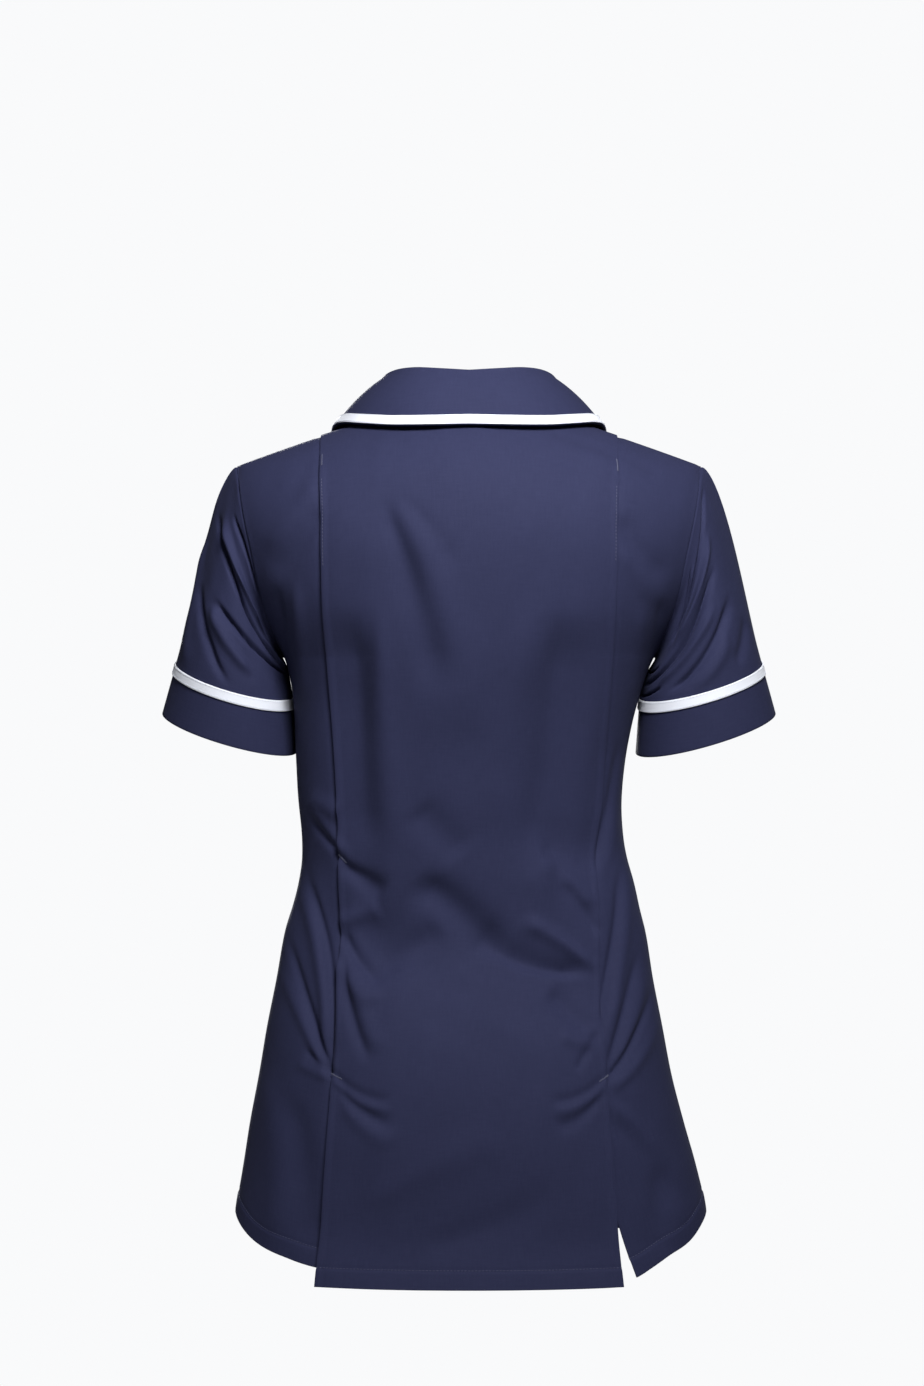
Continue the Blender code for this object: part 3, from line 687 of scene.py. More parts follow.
def back_centre_points(shares, height, extra=0.0):
    """Points of the centre panel, from one pleat (share -1) to the other (share 1)."""
    lift = CLOTH + 2 * SEAM_GAP + FLAP_LIFT * smooth_step(-height, -VENT_TOP, -CENTRE_HEM) + extra
    lift = lift - SHOULDER_SINK * smooth_step(height, -36, -10) + hem_relief(height - CENTRE_HEM)
    rolled = smooth_step(-height, 20, 44) * smooth_step(np.abs(shares), 0.95, 0.985)[:, None]
    lift = lift + PLEAT_ROLL * rolled
    return on_body(1, shares[:, None] * pleat_line(height), height, lift)


def back_centre_grid():
    """The centre panel's points as rows up its height, from the hem to the neck."""
    shares = closer_at_ends(np.linspace(-1, 1, CENTRE_COLUMNS), 0.35)
    top = neck_row(shares * pleat_line(0))
    return back_centre_points(shares, panel_rows(np.full_like(shares, CENTRE_HEM), top))


back_centre = sewn_piece("back_centre", back_centre_grid(), navy_twill, rim=0.6)
dressed(back_centre, "back_centre")


# The two fronts, from side seam to centre, the right one lapping over the left by 26 mm and
# buttoned through. Above the last button their edges roll over into the lapels.
FRONT_HEM = {"across": (0, 100, 140, 165, 180, 190), "height": (-660, -658, -651, -642, -634, -624)}
FRONT_LAP = 13.0
BREAK_POINT = -200.0
ROLL_TOP = 76.0
LAP_STACK = 1.15
FRONT_COLUMNS = 76


def front_inner_edge(height):
    """Where a front ends towards the middle: at its lap, or above the break point at the roll line."""
    t = np.clip((height - BREAK_POINT) / -BREAK_POINT, 0, 1)
    return -FRONT_LAP + (ROLL_TOP + FRONT_LAP) * (1 - (1 - t) ** 1.25) ** 0.9


def lap_lift(hand, across):
    """How far the right front is raised where it lies on the left one."""
    if hand > 0:
        return np.zeros_like(across)
    return (CLOTH + SEAM_GAP) * LAP_STACK * smooth_step(across, -45, -FRONT_LAP - 3)


def front_foot(shares):
    """Height of a front's hem at shares of its width."""
    return along(FRONT_HEM, "height", shares * HEM_SIDE)


def front_points(hand, shares, height, extra=0.0):
    """Points of a front, from its lap or roll line (share 0) to the side seam and the armhole (share 1)."""
    inner = front_inner_edge(height)
    outer = hand * side_edge(hand, height)
    across = hand * (inner + shares[:, None] * (outer - inner))
    lift = lap_lift(hand, across) + hem_relief(height - front_foot(shares)[:, None]) + extra
    return on_body(-1, across, height, lift) - [0, SIDE_SEAM_SHIFT, 0]


def front_grid(hand):
    """The front's points as rows up its height, outer face forwards."""
    shares = closer_at_ends(np.linspace(0, 1, FRONT_COLUMNS), 0.5)
    foot = front_foot(shares)
    grid = front_points(hand, shares, panel_rows(foot, np.zeros_like(foot)))
    return grid if hand < 0 else grid[::-1]


front_left = sewn_piece("front_left", front_grid(1), navy_twill)
front_right = sewn_piece("front_right", front_grid(-1), navy_twill)
dressed(front_left, "front_left")
dressed(front_right, "front_right")


# The lapels: the tops of the fronts turned back on themselves, lying open from the break point to the
# notch under the collar. The same twill, faced and pressed.
LAPEL_EDGE = {"height": (-196, -176, -140, -110, -84, -62), "across": (6, 26, 58, 80, 95, 99)}
LAPEL_FOOT = {"left": -176.0, "right": -196.0}
LAPEL_TOP = -62.0
LAPEL_ROLL = 1.2
LAPEL_ROLL_GAP = 0.8
LAPEL_NOTCH = {"share": (0, 0.6, 1), "drop": (0, 2, 14)}
LAPEL_GRID = (34, 48)


def lapel_points(label, shares, climb, extra=0.0):
    """Points of a lapel, from its roll line (share 0) to its edge, at shares of its climb to the notch."""
    hand = 1 if label == "left" else -1
    top = LAPEL_TOP - along(LAPEL_NOTCH, "drop", shares)
    height = LAPEL_FOOT[label] + (top[:, None] - LAPEL_FOOT[label]) * climb
    roll = front_inner_edge(height) + LAPEL_ROLL_GAP
    across = hand * (roll + shares[:, None] * (along(LAPEL_EDGE, "across", height) - roll))
    lift = CLOTH + 2 * SEAM_GAP + lap_lift(hand, across) + extra
    return on_body(-1, across, height, lift + LAPEL_ROLL * np.sin(np.pi * shares[:, None]) ** 2)


def lapel_grid(label):
    """The lapel's points from its roll line to its edge, outer face forwards."""
    grid = lapel_points(label, *(np.linspace(0, 1, count) for count in LAPEL_GRID))
    return grid[::-1] if label == "left" else grid


lapel_left = sewn_piece("lapel_left", lapel_grid("left"), navy_twill)
lapel_right = sewn_piece("lapel_right", lapel_grid("right"), navy_twill)
dressed(lapel_left, "lapel_left")
dressed(lapel_right, "lapel_right")


# The collar: one piece of faced twill, standing inside the neck and turned down over the shoulders.
# It is sewn into the neck seam, and its points meet the lapels' notches in front.
COLLAR = {
    "seam": ((0, 58.5, 10.6), (22, 57, 10), (42, 53.3, 8.5), (59, 47, 6.5), (71.5, 30, 6.4), (75.5, 0, 6.6),
             (74.5, -30.5, 2.2), (73, -67, -18.5), (69.5, -84, -36.6), (65, -94, -51.2)),
    "fold": ((0, 58, 39), (22, 55, 40.5), (42, 45, 42), (57, 29, 41), (66, 9, 37), (69, -14, 29.5),
             (68, -42, 14), (66, -70, -10), (62, -88, -31), (57, -100, -50)),
    "edge": ((0, 89, -4.5), (32, 88, -5), (62, 77, -4.5), (86, 55, -2), (101, 26, 0.3), (108.5, -6, -0.8),
             (111, -38, -8.5), (111, -62, -24.5), (109.5, -82, -45), (105.5, -94.5, -62)),
    "crown": ((0, 0, 1), (0, 0, 1), (0, 0, 1), (0, 0, 1), (0, -0.05, 1), (0, -0.2, 1), (0.05, -0.45, 0.9),
              (0.1, -0.65, 0.75), (0.15, -0.8, 0.6), (0.16, -0.87, 0.46)),
}
COLLAR_BULGE = 0.16
COLLAR_COLUMNS = 44
COLLAR_STATIONS = 190
COLLAR_FALL_ROWS = 6


def collar_rail(name, stations):
    """A rail of the collar, smooth through its stations, mirrored past the centre back."""
    rows = np.array(COLLAR[name], float)
    table = {"station": tuple(range(len(rows))), "x": rows[:, 0], "y": rows[:, 1], "z": rows[:, 2]}
    points = np.stack([along(table, key, np.abs(stations)) for key in ("x", "y", "z")], axis=-1)
    points[:, 0] *= np.where(stations >= 0, 1, -1)
    return points


def smooth_line(points, count):
    """Resamples a line of points along its first axis with a smooth curve through them."""
    table = {"row": tuple(range(len(points)))}
    at = np.linspace(0, len(points) - 1, count)
    flat = points.reshape(len(points), -1)
    lines = [along({**table, "value": flat[:, k]}, "value", at) for k in range(flat.shape[1])]
    return np.stack(lines, axis=-1).reshape((count,) + points.shape[1:])


def collar_grid(count):
    """The collar's outer face: up the stand from the neck seam, over the fold and down to its edge."""
    stations = np.linspace(len(COLLAR["seam"]) - 1, 1 - len(COLLAR["seam"]), count)
    seam, fold, edge = (collar_rail(name, stations) for name in ("seam", "fold", "edge"))
    up = unit(collar_rail("crown", stations))
    fall = edge - fold
    out = unit(fall - up * (fall * up).sum(axis=-1, keepdims=True))
    down = fold + out * 5.2 - up * 1.5
    bulge = COLLAR_BULGE * np.linalg.norm(fall, axis=-1, keepdims=True)
    # The rows of its section: up the stand, over the roll of the fold, then down the bulging fall.
    points = [seam + t * (fold - seam) for t in (0.0, 0.35, 0.7)]
    points += [fold - up * 1.5, fold + out * 0.8 + up * 0.8, fold + up * 1.2 + out * 2.6]
    for t in np.linspace(0, 1, COLLAR_FALL_ROWS):
        points.append(down + t * (edge - down) + (up * 1.6 + out * 0.6) * bulge * t * (1 - t))
    return np.swapaxes(smooth_line(np.array(points), COLLAR_COLUMNS), 0, 1)


collar_points = collar_grid(COLLAR_STATIONS)
collar = sewn_piece("collar", collar_points, navy_twill)
dressed(collar, "collar")


# White woven tape, 8.5 mm wide, laid on the collar's outer edge and stitched down along both its sides.
TAPE_CLOTH = 1.0
TAPE_WIDTH = 8.5
TAPE_INSET = 0.4
TAPE_COLUMNS = 6
TAPE_WHITE = (0.86, 0.89, 0.97, 1.0)
TAPE_SHADE = (0.66, 0.70, 0.80, 1.0)
RIB_PITCH = 0.00055


def build_rib_group():
    """Fine crosswise ribs of a woven tape, read from its UV map."""
    tree, given, put_out = new_weave_group("tape_ribs", {"Rib pitch": 0.0005}, ("Height",))
    cloth_map = add_node(tree, "ShaderNodeUVMap", (-800, 0), {"uv_map": "cloth"})
    split = add_node(tree, "ShaderNodeSeparateXYZ", (-600, 0), {"Vector": cloth_map.outputs["UV"]})
    waves = [yarn_wave(tree, (-400, y), split.outputs[axis], given.outputs["Rib pitch"])
             for axis, y in (("X", 100), ("Y", -100))]
    set_values(put_out, {"Height": math_node(tree, (100, 0), "MULTIPLY", *waves)})
    return tree


def make_white_tape(ribs):
    """Bright white polyester tape, a little blue, with a fine plain weave."""
    material, tree, shader = new_material("white_tape")
    shader.inputs["Sheen Weight"].default_value = 0.12
    weave = add_node(tree, "ShaderNodeGroup", (-900, 0), {"node_tree": ribs, "Rib pitch": RIB_PITCH})
    height = weave.outputs["Height"]
    shade = ranged(tree, (-700, 200), height, {"From Min": -1.0, "To Min": 0.75})
    set_values(shader, {
        "Base Color": mix_colours(tree, (-450, 200), shade, TAPE_SHADE, TAPE_WHITE),
        "Roughness": ranged(tree, (-450, -50), height, {"From Min": -1.0, "To Min": 0.75, "To Max": 0.6}),
        "Normal": woven_normal(tree, (-450, -300), height, 0.25),
    })
    return material


tape_ribs = build_rib_group()
white_tape = make_white_tape(tape_ribs)


def grid_normals(grid, loop=False):
    """Directions square to a grid of points, by its neighbours."""
    if loop:
        across = np.roll(grid, -1, axis=1) - np.roll(grid, 1, axis=1)
    else:
        across = np.gradient(grid, axis=1)
    return unit(np.cross(across, np.gradient(grid, axis=0)))


def edge_strip(grid, normals, near, far, count, lift):
    """A strip made from a grid's own points near the end of its rows, moved out by a lift."""
    back = grid[:, ::-1]
    steps = np.linalg.norm(np.diff(back, axis=1), axis=-1)
    reach = np.concatenate([np.zeros((len(grid), 1)), np.cumsum(steps, axis=1)], axis=1)
    away = normals[:, ::-1]
    rows = []
    for i in range(len(grid)):
        at = np.linspace(far, near, count)
        point = np.stack([np.interp(at, reach[i], back[i, :, k]) for k in range(3)], axis=-1)
        square = np.stack([np.interp(at, reach[i], away[i, :, k]) for k in range(3)], axis=-1)
        rows.append(point + unit(square) * lift)
    return np.array(rows)


collar_out = grid_normals(collar_points)
tape_points = edge_strip(collar_points, collar_out, TAPE_INSET, TAPE_WIDTH, TAPE_COLUMNS, SEAM_GAP)
collar_tape = sewn_piece("collar_tape", tape_points, white_tape, TAPE_CLOTH, outward=True, rim=0.35)
dressed(collar_tape, "collar_tape")


# The set-in sleeves: short, of the same twill, sewn into the armholes and falling in drag lines that fan
# out from the underarm and hang from the shoulder point.
CUFF = {
    "hem": {"centre": (194, -20, -245.5), "half_width": 55, "half_depth": 56},
    "band": {"centre": (190, -13, -206.5), "half_width": 48, "half_depth": 57},
}
CUFF_EXTRA = {"left": 1.5, "right": 3.7}
CUFF_TILT_SIDE = 16.0
CUFF_TILT_FORWARD = 10.0
SLEEVE_HANDLE_TOP = 20.0
SLEEVE_HANDLE_UNDERARM = 5.0
SLEEVE_HANDLE_CUFF = 58.0
SLEEVE_TURNS = 160
SLEEVE_HEAD_SINK = 0.8
SLEEVE_SEAM_GAP = 0.12
SLEEVE_TURN_STEP = 0.02
UNDERARM_FROM = 0.72
UNDERARM_DOWN = 0.35
UNDERARM_OUT = 0.75
SLEEVE_OUT = 0.02

# The columns of the body's creases, with ends as (turn in degrees from the underarm by the back, share of
# the way to the band).
SLEEVE_CREASES = {
    "left": (
        ((117, 0.17), (58, 0.03), 0, (3.2, 3.2), -3.9, 0),
        ((132, 0.31), (46, 0.35), 0, (6.3, 4.5), 4.6, 0),
        ((146, 0.35), (40, 0.47), 2, (3.2, 2.72), -5.1, 0),
        ((117, 0.64), (22, 0.56), 3, (3.2, 2.72), -5.1, 0),
        ((122, 0.68), (74, 0.8), 0, (6.3, 5.4), 4.0, 0),
        ((150, 0.66), (96, 0.93), 0, (3.6, 3.2), -4.1, 0),
        ((44, 0.31), (14, 0.38), 0, (2.4, 2.4), -3.3, 0),
        ((48, 0.42), (20, 0.46), 0, (3.06, 3.06), 2.9, 0),
        ((172, 0.5), (150, 0.95), 0, (7.2, 9), 2.3, 0),
        ((335, 0.46), (248, 0.34), 2, (2.72, 4), -4.4, 0),
        ((324, 0.36), (238, 0.24), 0, (4.5, 7.2), 3.5, 0),
        ((346, 0.34), (262, 0.14), 0, (2.72, 4), -3.4, 0),
        ((322, 0.62), (232, 0.66), -3, (2.88, 4.8), -4.0, 0),
        ((312, 0.74), (242, 0.8), 0, (5.4, 7.2), 3.2, 0),
        ((300, 0.84), (250, 0.95), 0, (3.2, 4), -3.3, 0),
        ((-54, 0.44), (54, 0.44), 0, (34, 34), 2.0, 0),
        ((216, 0.14), (204, 0.52), 3, (4.8, 7.2), -2.4, 0),
    ),
    "right": (
        ((132, 0.11), (50, 0.37), 4, (2.88, 2.72), -4.0, 0),
        ((82, 0.19), (50, 0.43), 0, (2.4, 2.4), -2.9, 0),
        ((114, 0.3), (60, 0.52), 3, (6.3, 5.4), 4.2, 0),
        ((110, 0.48), (20, 0.7), 2, (4.4, 3.6), -4.6, 0),
        ((104, 0.62), (46, 0.77), 0, (5.4, 4.5), 3.3, 0),
        ((129, 0.67), (62, 0.87), 2, (4.8, 3.6), -4.4, 0),
        ((119, 0.8), (84, 0.94), 0, (6.3, 5.4), 2.3, 0),
        ((154, 0.78), (128, 0.9), 0, (5.6, 5.6), -2.4, 0),
        ((32, 0.56), (6, 0.5), 0, (2.4, 2.4), -3.0, 0),
        ((42, 0.82), (12, 0.87), 0, (2.4, 2.4), -2.6, 0),
        ((330, 0.5), (244, 0.38), -2, (2.72, 4), -4.1, 0),
        ((320, 0.4), (232, 0.28), 0, (4.5, 7.2), 3.3, 0),
        ((344, 0.3), (266, 0.16), 0, (2.72, 4), -3.3, 0),
        ((318, 0.68), (228, 0.7), 3, (3.04, 4.8), -3.7, 0),
        ((306, 0.78), (238, 0.86), 0, (5.4, 7.2), 2.9, 0),
        ((-54, 0.62), (54, 0.62), 0, (26, 26), 1.6, 0),
        ((218, 0.2), (200, 0.6), -3, (5.6, 7.2), -2.5, 0),
    ),
}
SLEEVE_DEGREE = 0.9
SLEEVE_SHARE_REACH = 150.0
SLEEVE_SCALE = (SLEEVE_DEGREE, SLEEVE_SHARE_REACH)


def cuff_ring(which, turn, hand):
    """Points of the sleeve's lower end. turn is 0 under the arm and runs by the back to the outside."""
    tilt = math.radians(CUFF_TILT_SIDE)
    lean = math.radians(CUFF_TILT_FORWARD)
    lateral = np.array([math.cos(tilt), 0, math.sin(tilt)])
    backward = np.array([0, math.cos(lean), -math.sin(lean)])
    row = CUFF[which]
    extra = CUFF_EXTRA["left" if hand > 0 else "right"]
    points = (
        np.array(row["centre"], float)
        - lateral * (np.cos(turn)[..., None] * (row["half_width"] + extra) + extra)
        + backward * np.sin(turn)[..., None] * row["half_depth"]
    )
    return points * [hand, 1, 1]


def by_side(turn, back, front):
    """Picks the back's points where a sleeve's turn is behind, and the front's where it is before."""
    return np.where((np.sin(turn) >= 0)[..., None], back, front)


def armhole(turn, hand):
    """Points of the armhole seam at turns of the sleeve."""
    height = UNDERARM * (1 + np.cos(turn)) / 2
    across = side_edge(hand, height)
    return by_side(turn, body_surface(1, across, height), body_surface(-1, across, height))


def sleeve_surface(turn, share, hand):
    """The sleeve's outer face: from the armhole (share 0) to where the band joins (share 1)."""
    seam = armhole(turn, hand)
    height = UNDERARM * (1 + np.cos(turn)) / 2
    across = side_edge(hand, height)
    normal = by_side(turn, body_normal(1, across, height), body_normal(-1, across, height))
    seam_run = armhole(turn + SLEEVE_TURN_STEP, hand) - armhole(turn - SLEEVE_TURN_STEP, hand)
    away = unit(np.cross(seam_run, normal))
    inward = away[..., 0] * hand + away[..., 2] * 0.4 * np.cos(turn) < 0
    away = np.where(inward[..., None], -away, away)
    under = smooth_step((1 + np.cos(turn)) / 2, UNDERARM_FROM, 1.0)[..., None]
    leave = unit(away * (1 - UNDERARM_DOWN * under) + normal * (SLEEVE_OUT + UNDERARM_OUT * under))
    handle = SLEEVE_HANDLE_UNDERARM + (SLEEVE_HANDLE_TOP - SLEEVE_HANDLE_UNDERARM) * (1 - under)
    start = seam + away * SLEEVE_SEAM_GAP + normal * 0.25 * under
    end = cuff_ring("band", turn, hand)
    down = unit(cuff_ring("hem", turn, hand) - end)
    reach = np.minimum(SLEEVE_HANDLE_CUFF, 0.4 * np.linalg.norm(end - start, axis=-1, keepdims=True))
    one = start + leave * handle
    two = end - down * reach
    t = share[..., None]
    return (1 - t) ** 3 * start + 3 * t * (1 - t) ** 2 * one + 3 * t * t * (1 - t) * two + t**3 * end


def sleeve_grid(label):
    """The sleeve's points in rings from the armhole to the band, with its creases."""
    hand = 1 if label == "left" else -1
    turns = np.linspace(0, 2 * math.pi, SLEEVE_TURNS, endpoint=False)
    shares = np.concatenate([np.linspace(0, 0.1, 9), np.linspace(0.1, 0.99, 70)[1:]])
    turn, share = np.meshgrid(turns, shares)
    grid = sleeve_surface(turn, share, hand)
    if hand < 0:
        grid = grid[:, ::-1]
        turn = turn[:, ::-1]
    normals = grid_normals(grid, loop=True)
    around = np.degrees(turn) * SLEEVE_DEGREE
    down = share * SLEEVE_SHARE_REACH
    relief = slack(around, down, 21 if hand > 0 else 34)
    for start, end, *form in SLEEVE_CREASES[label]:
        row = (np.multiply(start, SLEEVE_SCALE), np.multiply(end, SLEEVE_SCALE), *form)
        for whole_turns in (-1, 0, 1):
            relief = relief + crease_relief((row,), around + whole_turns * 360 * SLEEVE_DEGREE, down)
    held = smooth_step(share, 0.0, 0.09) * smooth_step(-share, -0.985, -0.86)
    head = SLEEVE_HEAD_SINK * np.exp(-(((down - 2) / SEAM_SOFTNESS) ** 2)) * smooth_step(down, 0, 1.5)
    return grid + (relief * held - head)[..., None] * normals


for label in ("left", "right"):
    sleeve = sewn_piece("sleeve_" + label, sleeve_grid(label), navy_twill, loop=True)
    dressed(sleeve, "sleeve_" + label)


# The plain bands that finish the sleeves: a straight strip of twill folded double, 39 mm deep.
# White tape, 8.5 mm wide, covers the seam where each band is joined to its sleeve.
BAND_ROWS = 16
TAPE_SHARES = (-0.1, 0.12)
TAPE_THIN = 0.7
CUFF_TAPE_LIFT = 0.1


def band_grid(shares, hand, lift=0.0):
    """Rings around a sleeve's end, at shares of the way from the band's join to its hem."""
    turns = np.linspace(0, 2 * math.pi, SLEEVE_TURNS, endpoint=False)
    turn, share = np.meshgrid(turns, shares)
    join = cuff_ring("band", turn, hand)
    grid = join + share[..., None] * (cuff_ring("hem", turn, hand) - join)
    away = unit(grid - grid.mean(axis=1, keepdims=True))
    grid = grid + away * np.asarray(lift)
    return grid if hand > 0 else grid[:, ::-1]


for label, hand in (("left", 1), ("right", -1)):
    band_points = band_grid(np.linspace(0.02, 1.0, BAND_ROWS), hand)
    band = sewn_piece("sleeve_band_" + label, band_points, navy_twill, loop=True, rim=0.6)
    dressed(band, "sleeve_band_" + label)
    ring_points = band_grid(np.linspace(*TAPE_SHARES, TAPE_COLUMNS), hand, SEAM_GAP + CUFF_TAPE_LIFT)
    tape = sewn_piece("sleeve_tape_" + label, ring_points, white_tape, TAPE_THIN, outward=True, loop=True,
                      rim=0.25)
    dressed(tape, "sleeve_tape_" + label)


# Five plain four-hole buttons of moulded navy plastic, 18 mm across, sewn to the left front and buttoned
# through the right one.
BUTTON_HEIGHTS = (-222, -312, -402, -492, -582)
BUTTON_RADIUS = 9.0
BUTTON_THICKNESS = 2.6
BUTTON_HOLE_RADIUS = 0.9
BUTTON_HOLE_SPACING = 1.9
BUTTON_DISH = 0.66
BUTTON_DARK = (0.012, 0.014, 0.034, 1.0)
BUTTON_LIGHT = (0.028, 0.031, 0.066, 1.0)


def make_button_plastic():
    """Navy moulded polyester with the faint cloud of its casting, a soft gloss and fine scuffs."""
    material, tree, shader = new_material("navy_button")
    shader.inputs["Coat Weight"].default_value = 0.05
    place = add_node(tree, "ShaderNodeTexCoord", (-1000, 0)).outputs["Object"]
    cloud = add_node(tree, "ShaderNodeTexNoise", (-800, 100), {
        "Vector": place, "Scale": 260.0, "Detail": 4.0, "Distortion": 0.6})
    scuffs = add_node(tree, "ShaderNodeTexNoise", (-800, -200), {
        "Vector": place, "Scale": 1800.0, "Detail": 2.0})
    set_values(shader, {
        "Base Color": mix_colours(tree, (-500, 150), cloud.outputs["Fac"], BUTTON_DARK, BUTTON_LIGHT),
        "Roughness": ranged(tree, (-500, -150), scuffs.outputs["Fac"], {"To Min": 0.42, "To Max": 0.6}),
    })
    return material


button_plastic = make_button_plastic()


def turned_disc(name, profile, steps, place):
    """A disc turned from a profile of (radius, height) in millimetres, outer side run top to bottom."""
    mesh = bpy.data.meshes.new(name)
    points = [(x * MM, 0, z * MM) for x, z in profile]
    mesh.from_pydata(points, [(i, i + 1) for i in range(len(points) - 1)], [])
    disc = put_in_scene(name, mesh)
    disc.location = place
    turned = disc.modifiers.new("turned", "SCREW")
    turned.steps = steps
    turned.render_steps = steps
    turned.use_merge_vertices = True
    turned.merge_threshold = 0.00001
    return disc


def seat_on_front(mesh, height, material):
    """Lays a button's mesh square on the closed fronts, and gives it its material."""
    place = (-1, np.array(0.0), np.array(float(height)))
    normal = Vector(body_normal(*place))
    seat = on_body(*place, (CLOTH + 3 * SEAM_GAP) * LAP_STACK)
    mesh.transform(normal.to_track_quat("Z", "Y").to_matrix().to_4x4())
    mesh.transform(Matrix.Translation((seat - [0, SIDE_SEAM_SHIFT, 0]) * MM))
    mesh.materials.clear()
    mesh.materials.append(material)
    mesh.shade_smooth()


def button_piece(number, height):
    """One button with its four holes, on the closed fronts."""
    r = BUTTON_RADIUS
    t = BUTTON_THICKNESS
    profile = ((0, t * BUTTON_DISH), (r * 0.5, t * BUTTON_DISH), (r * 0.62, t * 0.7), (r * 0.72, t * 0.92),
               (r * 0.8, t), (r * 0.9, t * 0.97), (r * 0.97, t * 0.84), (r, t * 0.6), (r * 0.97, t * 0.25),
               (r * 0.88, 0), (0, 0))
    drill_profile = ((0, 2 * t), (BUTTON_HOLE_RADIUS, 2 * t), (BUTTON_HOLE_RADIUS, -t), (0, -t))
    disc = turned_disc(f"button_{number}_moulded", profile, 48, (0, 0, 0))
    spacing = BUTTON_HOLE_SPACING * MM
    drills = []
    for x, y in ((1, 1), (1, -1), (-1, 1), (-1, -1)):
        drill = turned_disc("drill", drill_profile, 12, (x * spacing, y * spacing, 0))
        drill.hide_render = True
        hole = disc.modifiers.new("hole", "BOOLEAN")
        hole.object = drill
        hole.operation = "DIFFERENCE"
        drills.append(drill)
    finished = made_plain(disc, disc.name)
    for drill in drills:
        bpy.data.objects.remove(drill, do_unlink=True)
    seat_on_front(finished, height, button_plastic)
    finished.set_sharp_from_angle(angle=math.radians(40))
    return disc


for number, height in enumerate(BUTTON_HEIGHTS, 1):
    dressed(button_piece(number, height), f"button_{number}")


# All the stitching that shows: rows of lockstitch in navy thread along the hems, the lap, the pleats and the
# lapels, white thread along both sides of the tapes, and short dense bar tacks where the pleats take strain.
STITCH_PITCH = 2.7
STITCH_LENGTH = 2.1
THREAD_RADIUS = 0.24
TACK_PITCH = 0.42
TACK_LENGTH = 1.7
LINE_STEP = 1.5
BODY_MIDDLE = (0.55, 0.0, 1.0)
PLEAT_STITCH_INSET = 1.7
PLEAT_STITCHES = {1: (-112.0, -44.0), -1: (-108.0, -50.0)}
LAP_STITCH_SHARE = 0.045
LAPEL_STITCH_SHARE = 0.93
TAPE_STITCH_INSET = 1.1
CENTRE_HEM_LINE = (-0.995, 0.995, 120)
SIDE_HEM_LINE = (0.01, 0.99, 90)
PLEAT_LINE_POINTS = 60
LAP_LINE = (-640, BREAK_POINT - 4, 240)
LAPEL_LINE = (0.12, 0.98, 90)
TACK_LINE_POINTS = 12
THREAD_LIFT = {"hem": THREAD_RADIUS * 0.6, "fold": THREAD_RADIUS * 0.5, "tape": THREAD_RADIUS * 0.4,
               "tack": THREAD_RADIUS * 0.8}

# Bar tacks on the centre panel: ends as (across, height).
BAR_TACKS = (
    ((114.9, -28), (114.4, -37)),
    ((-114.9, -32), (-114.7, -42)),
    ((102.4, -341), (96.8, -347.5)),
    ((107.5, -510.5), (99, -514.5)),
    ((-107.3, -512.5), (-101, -516.8)),
)


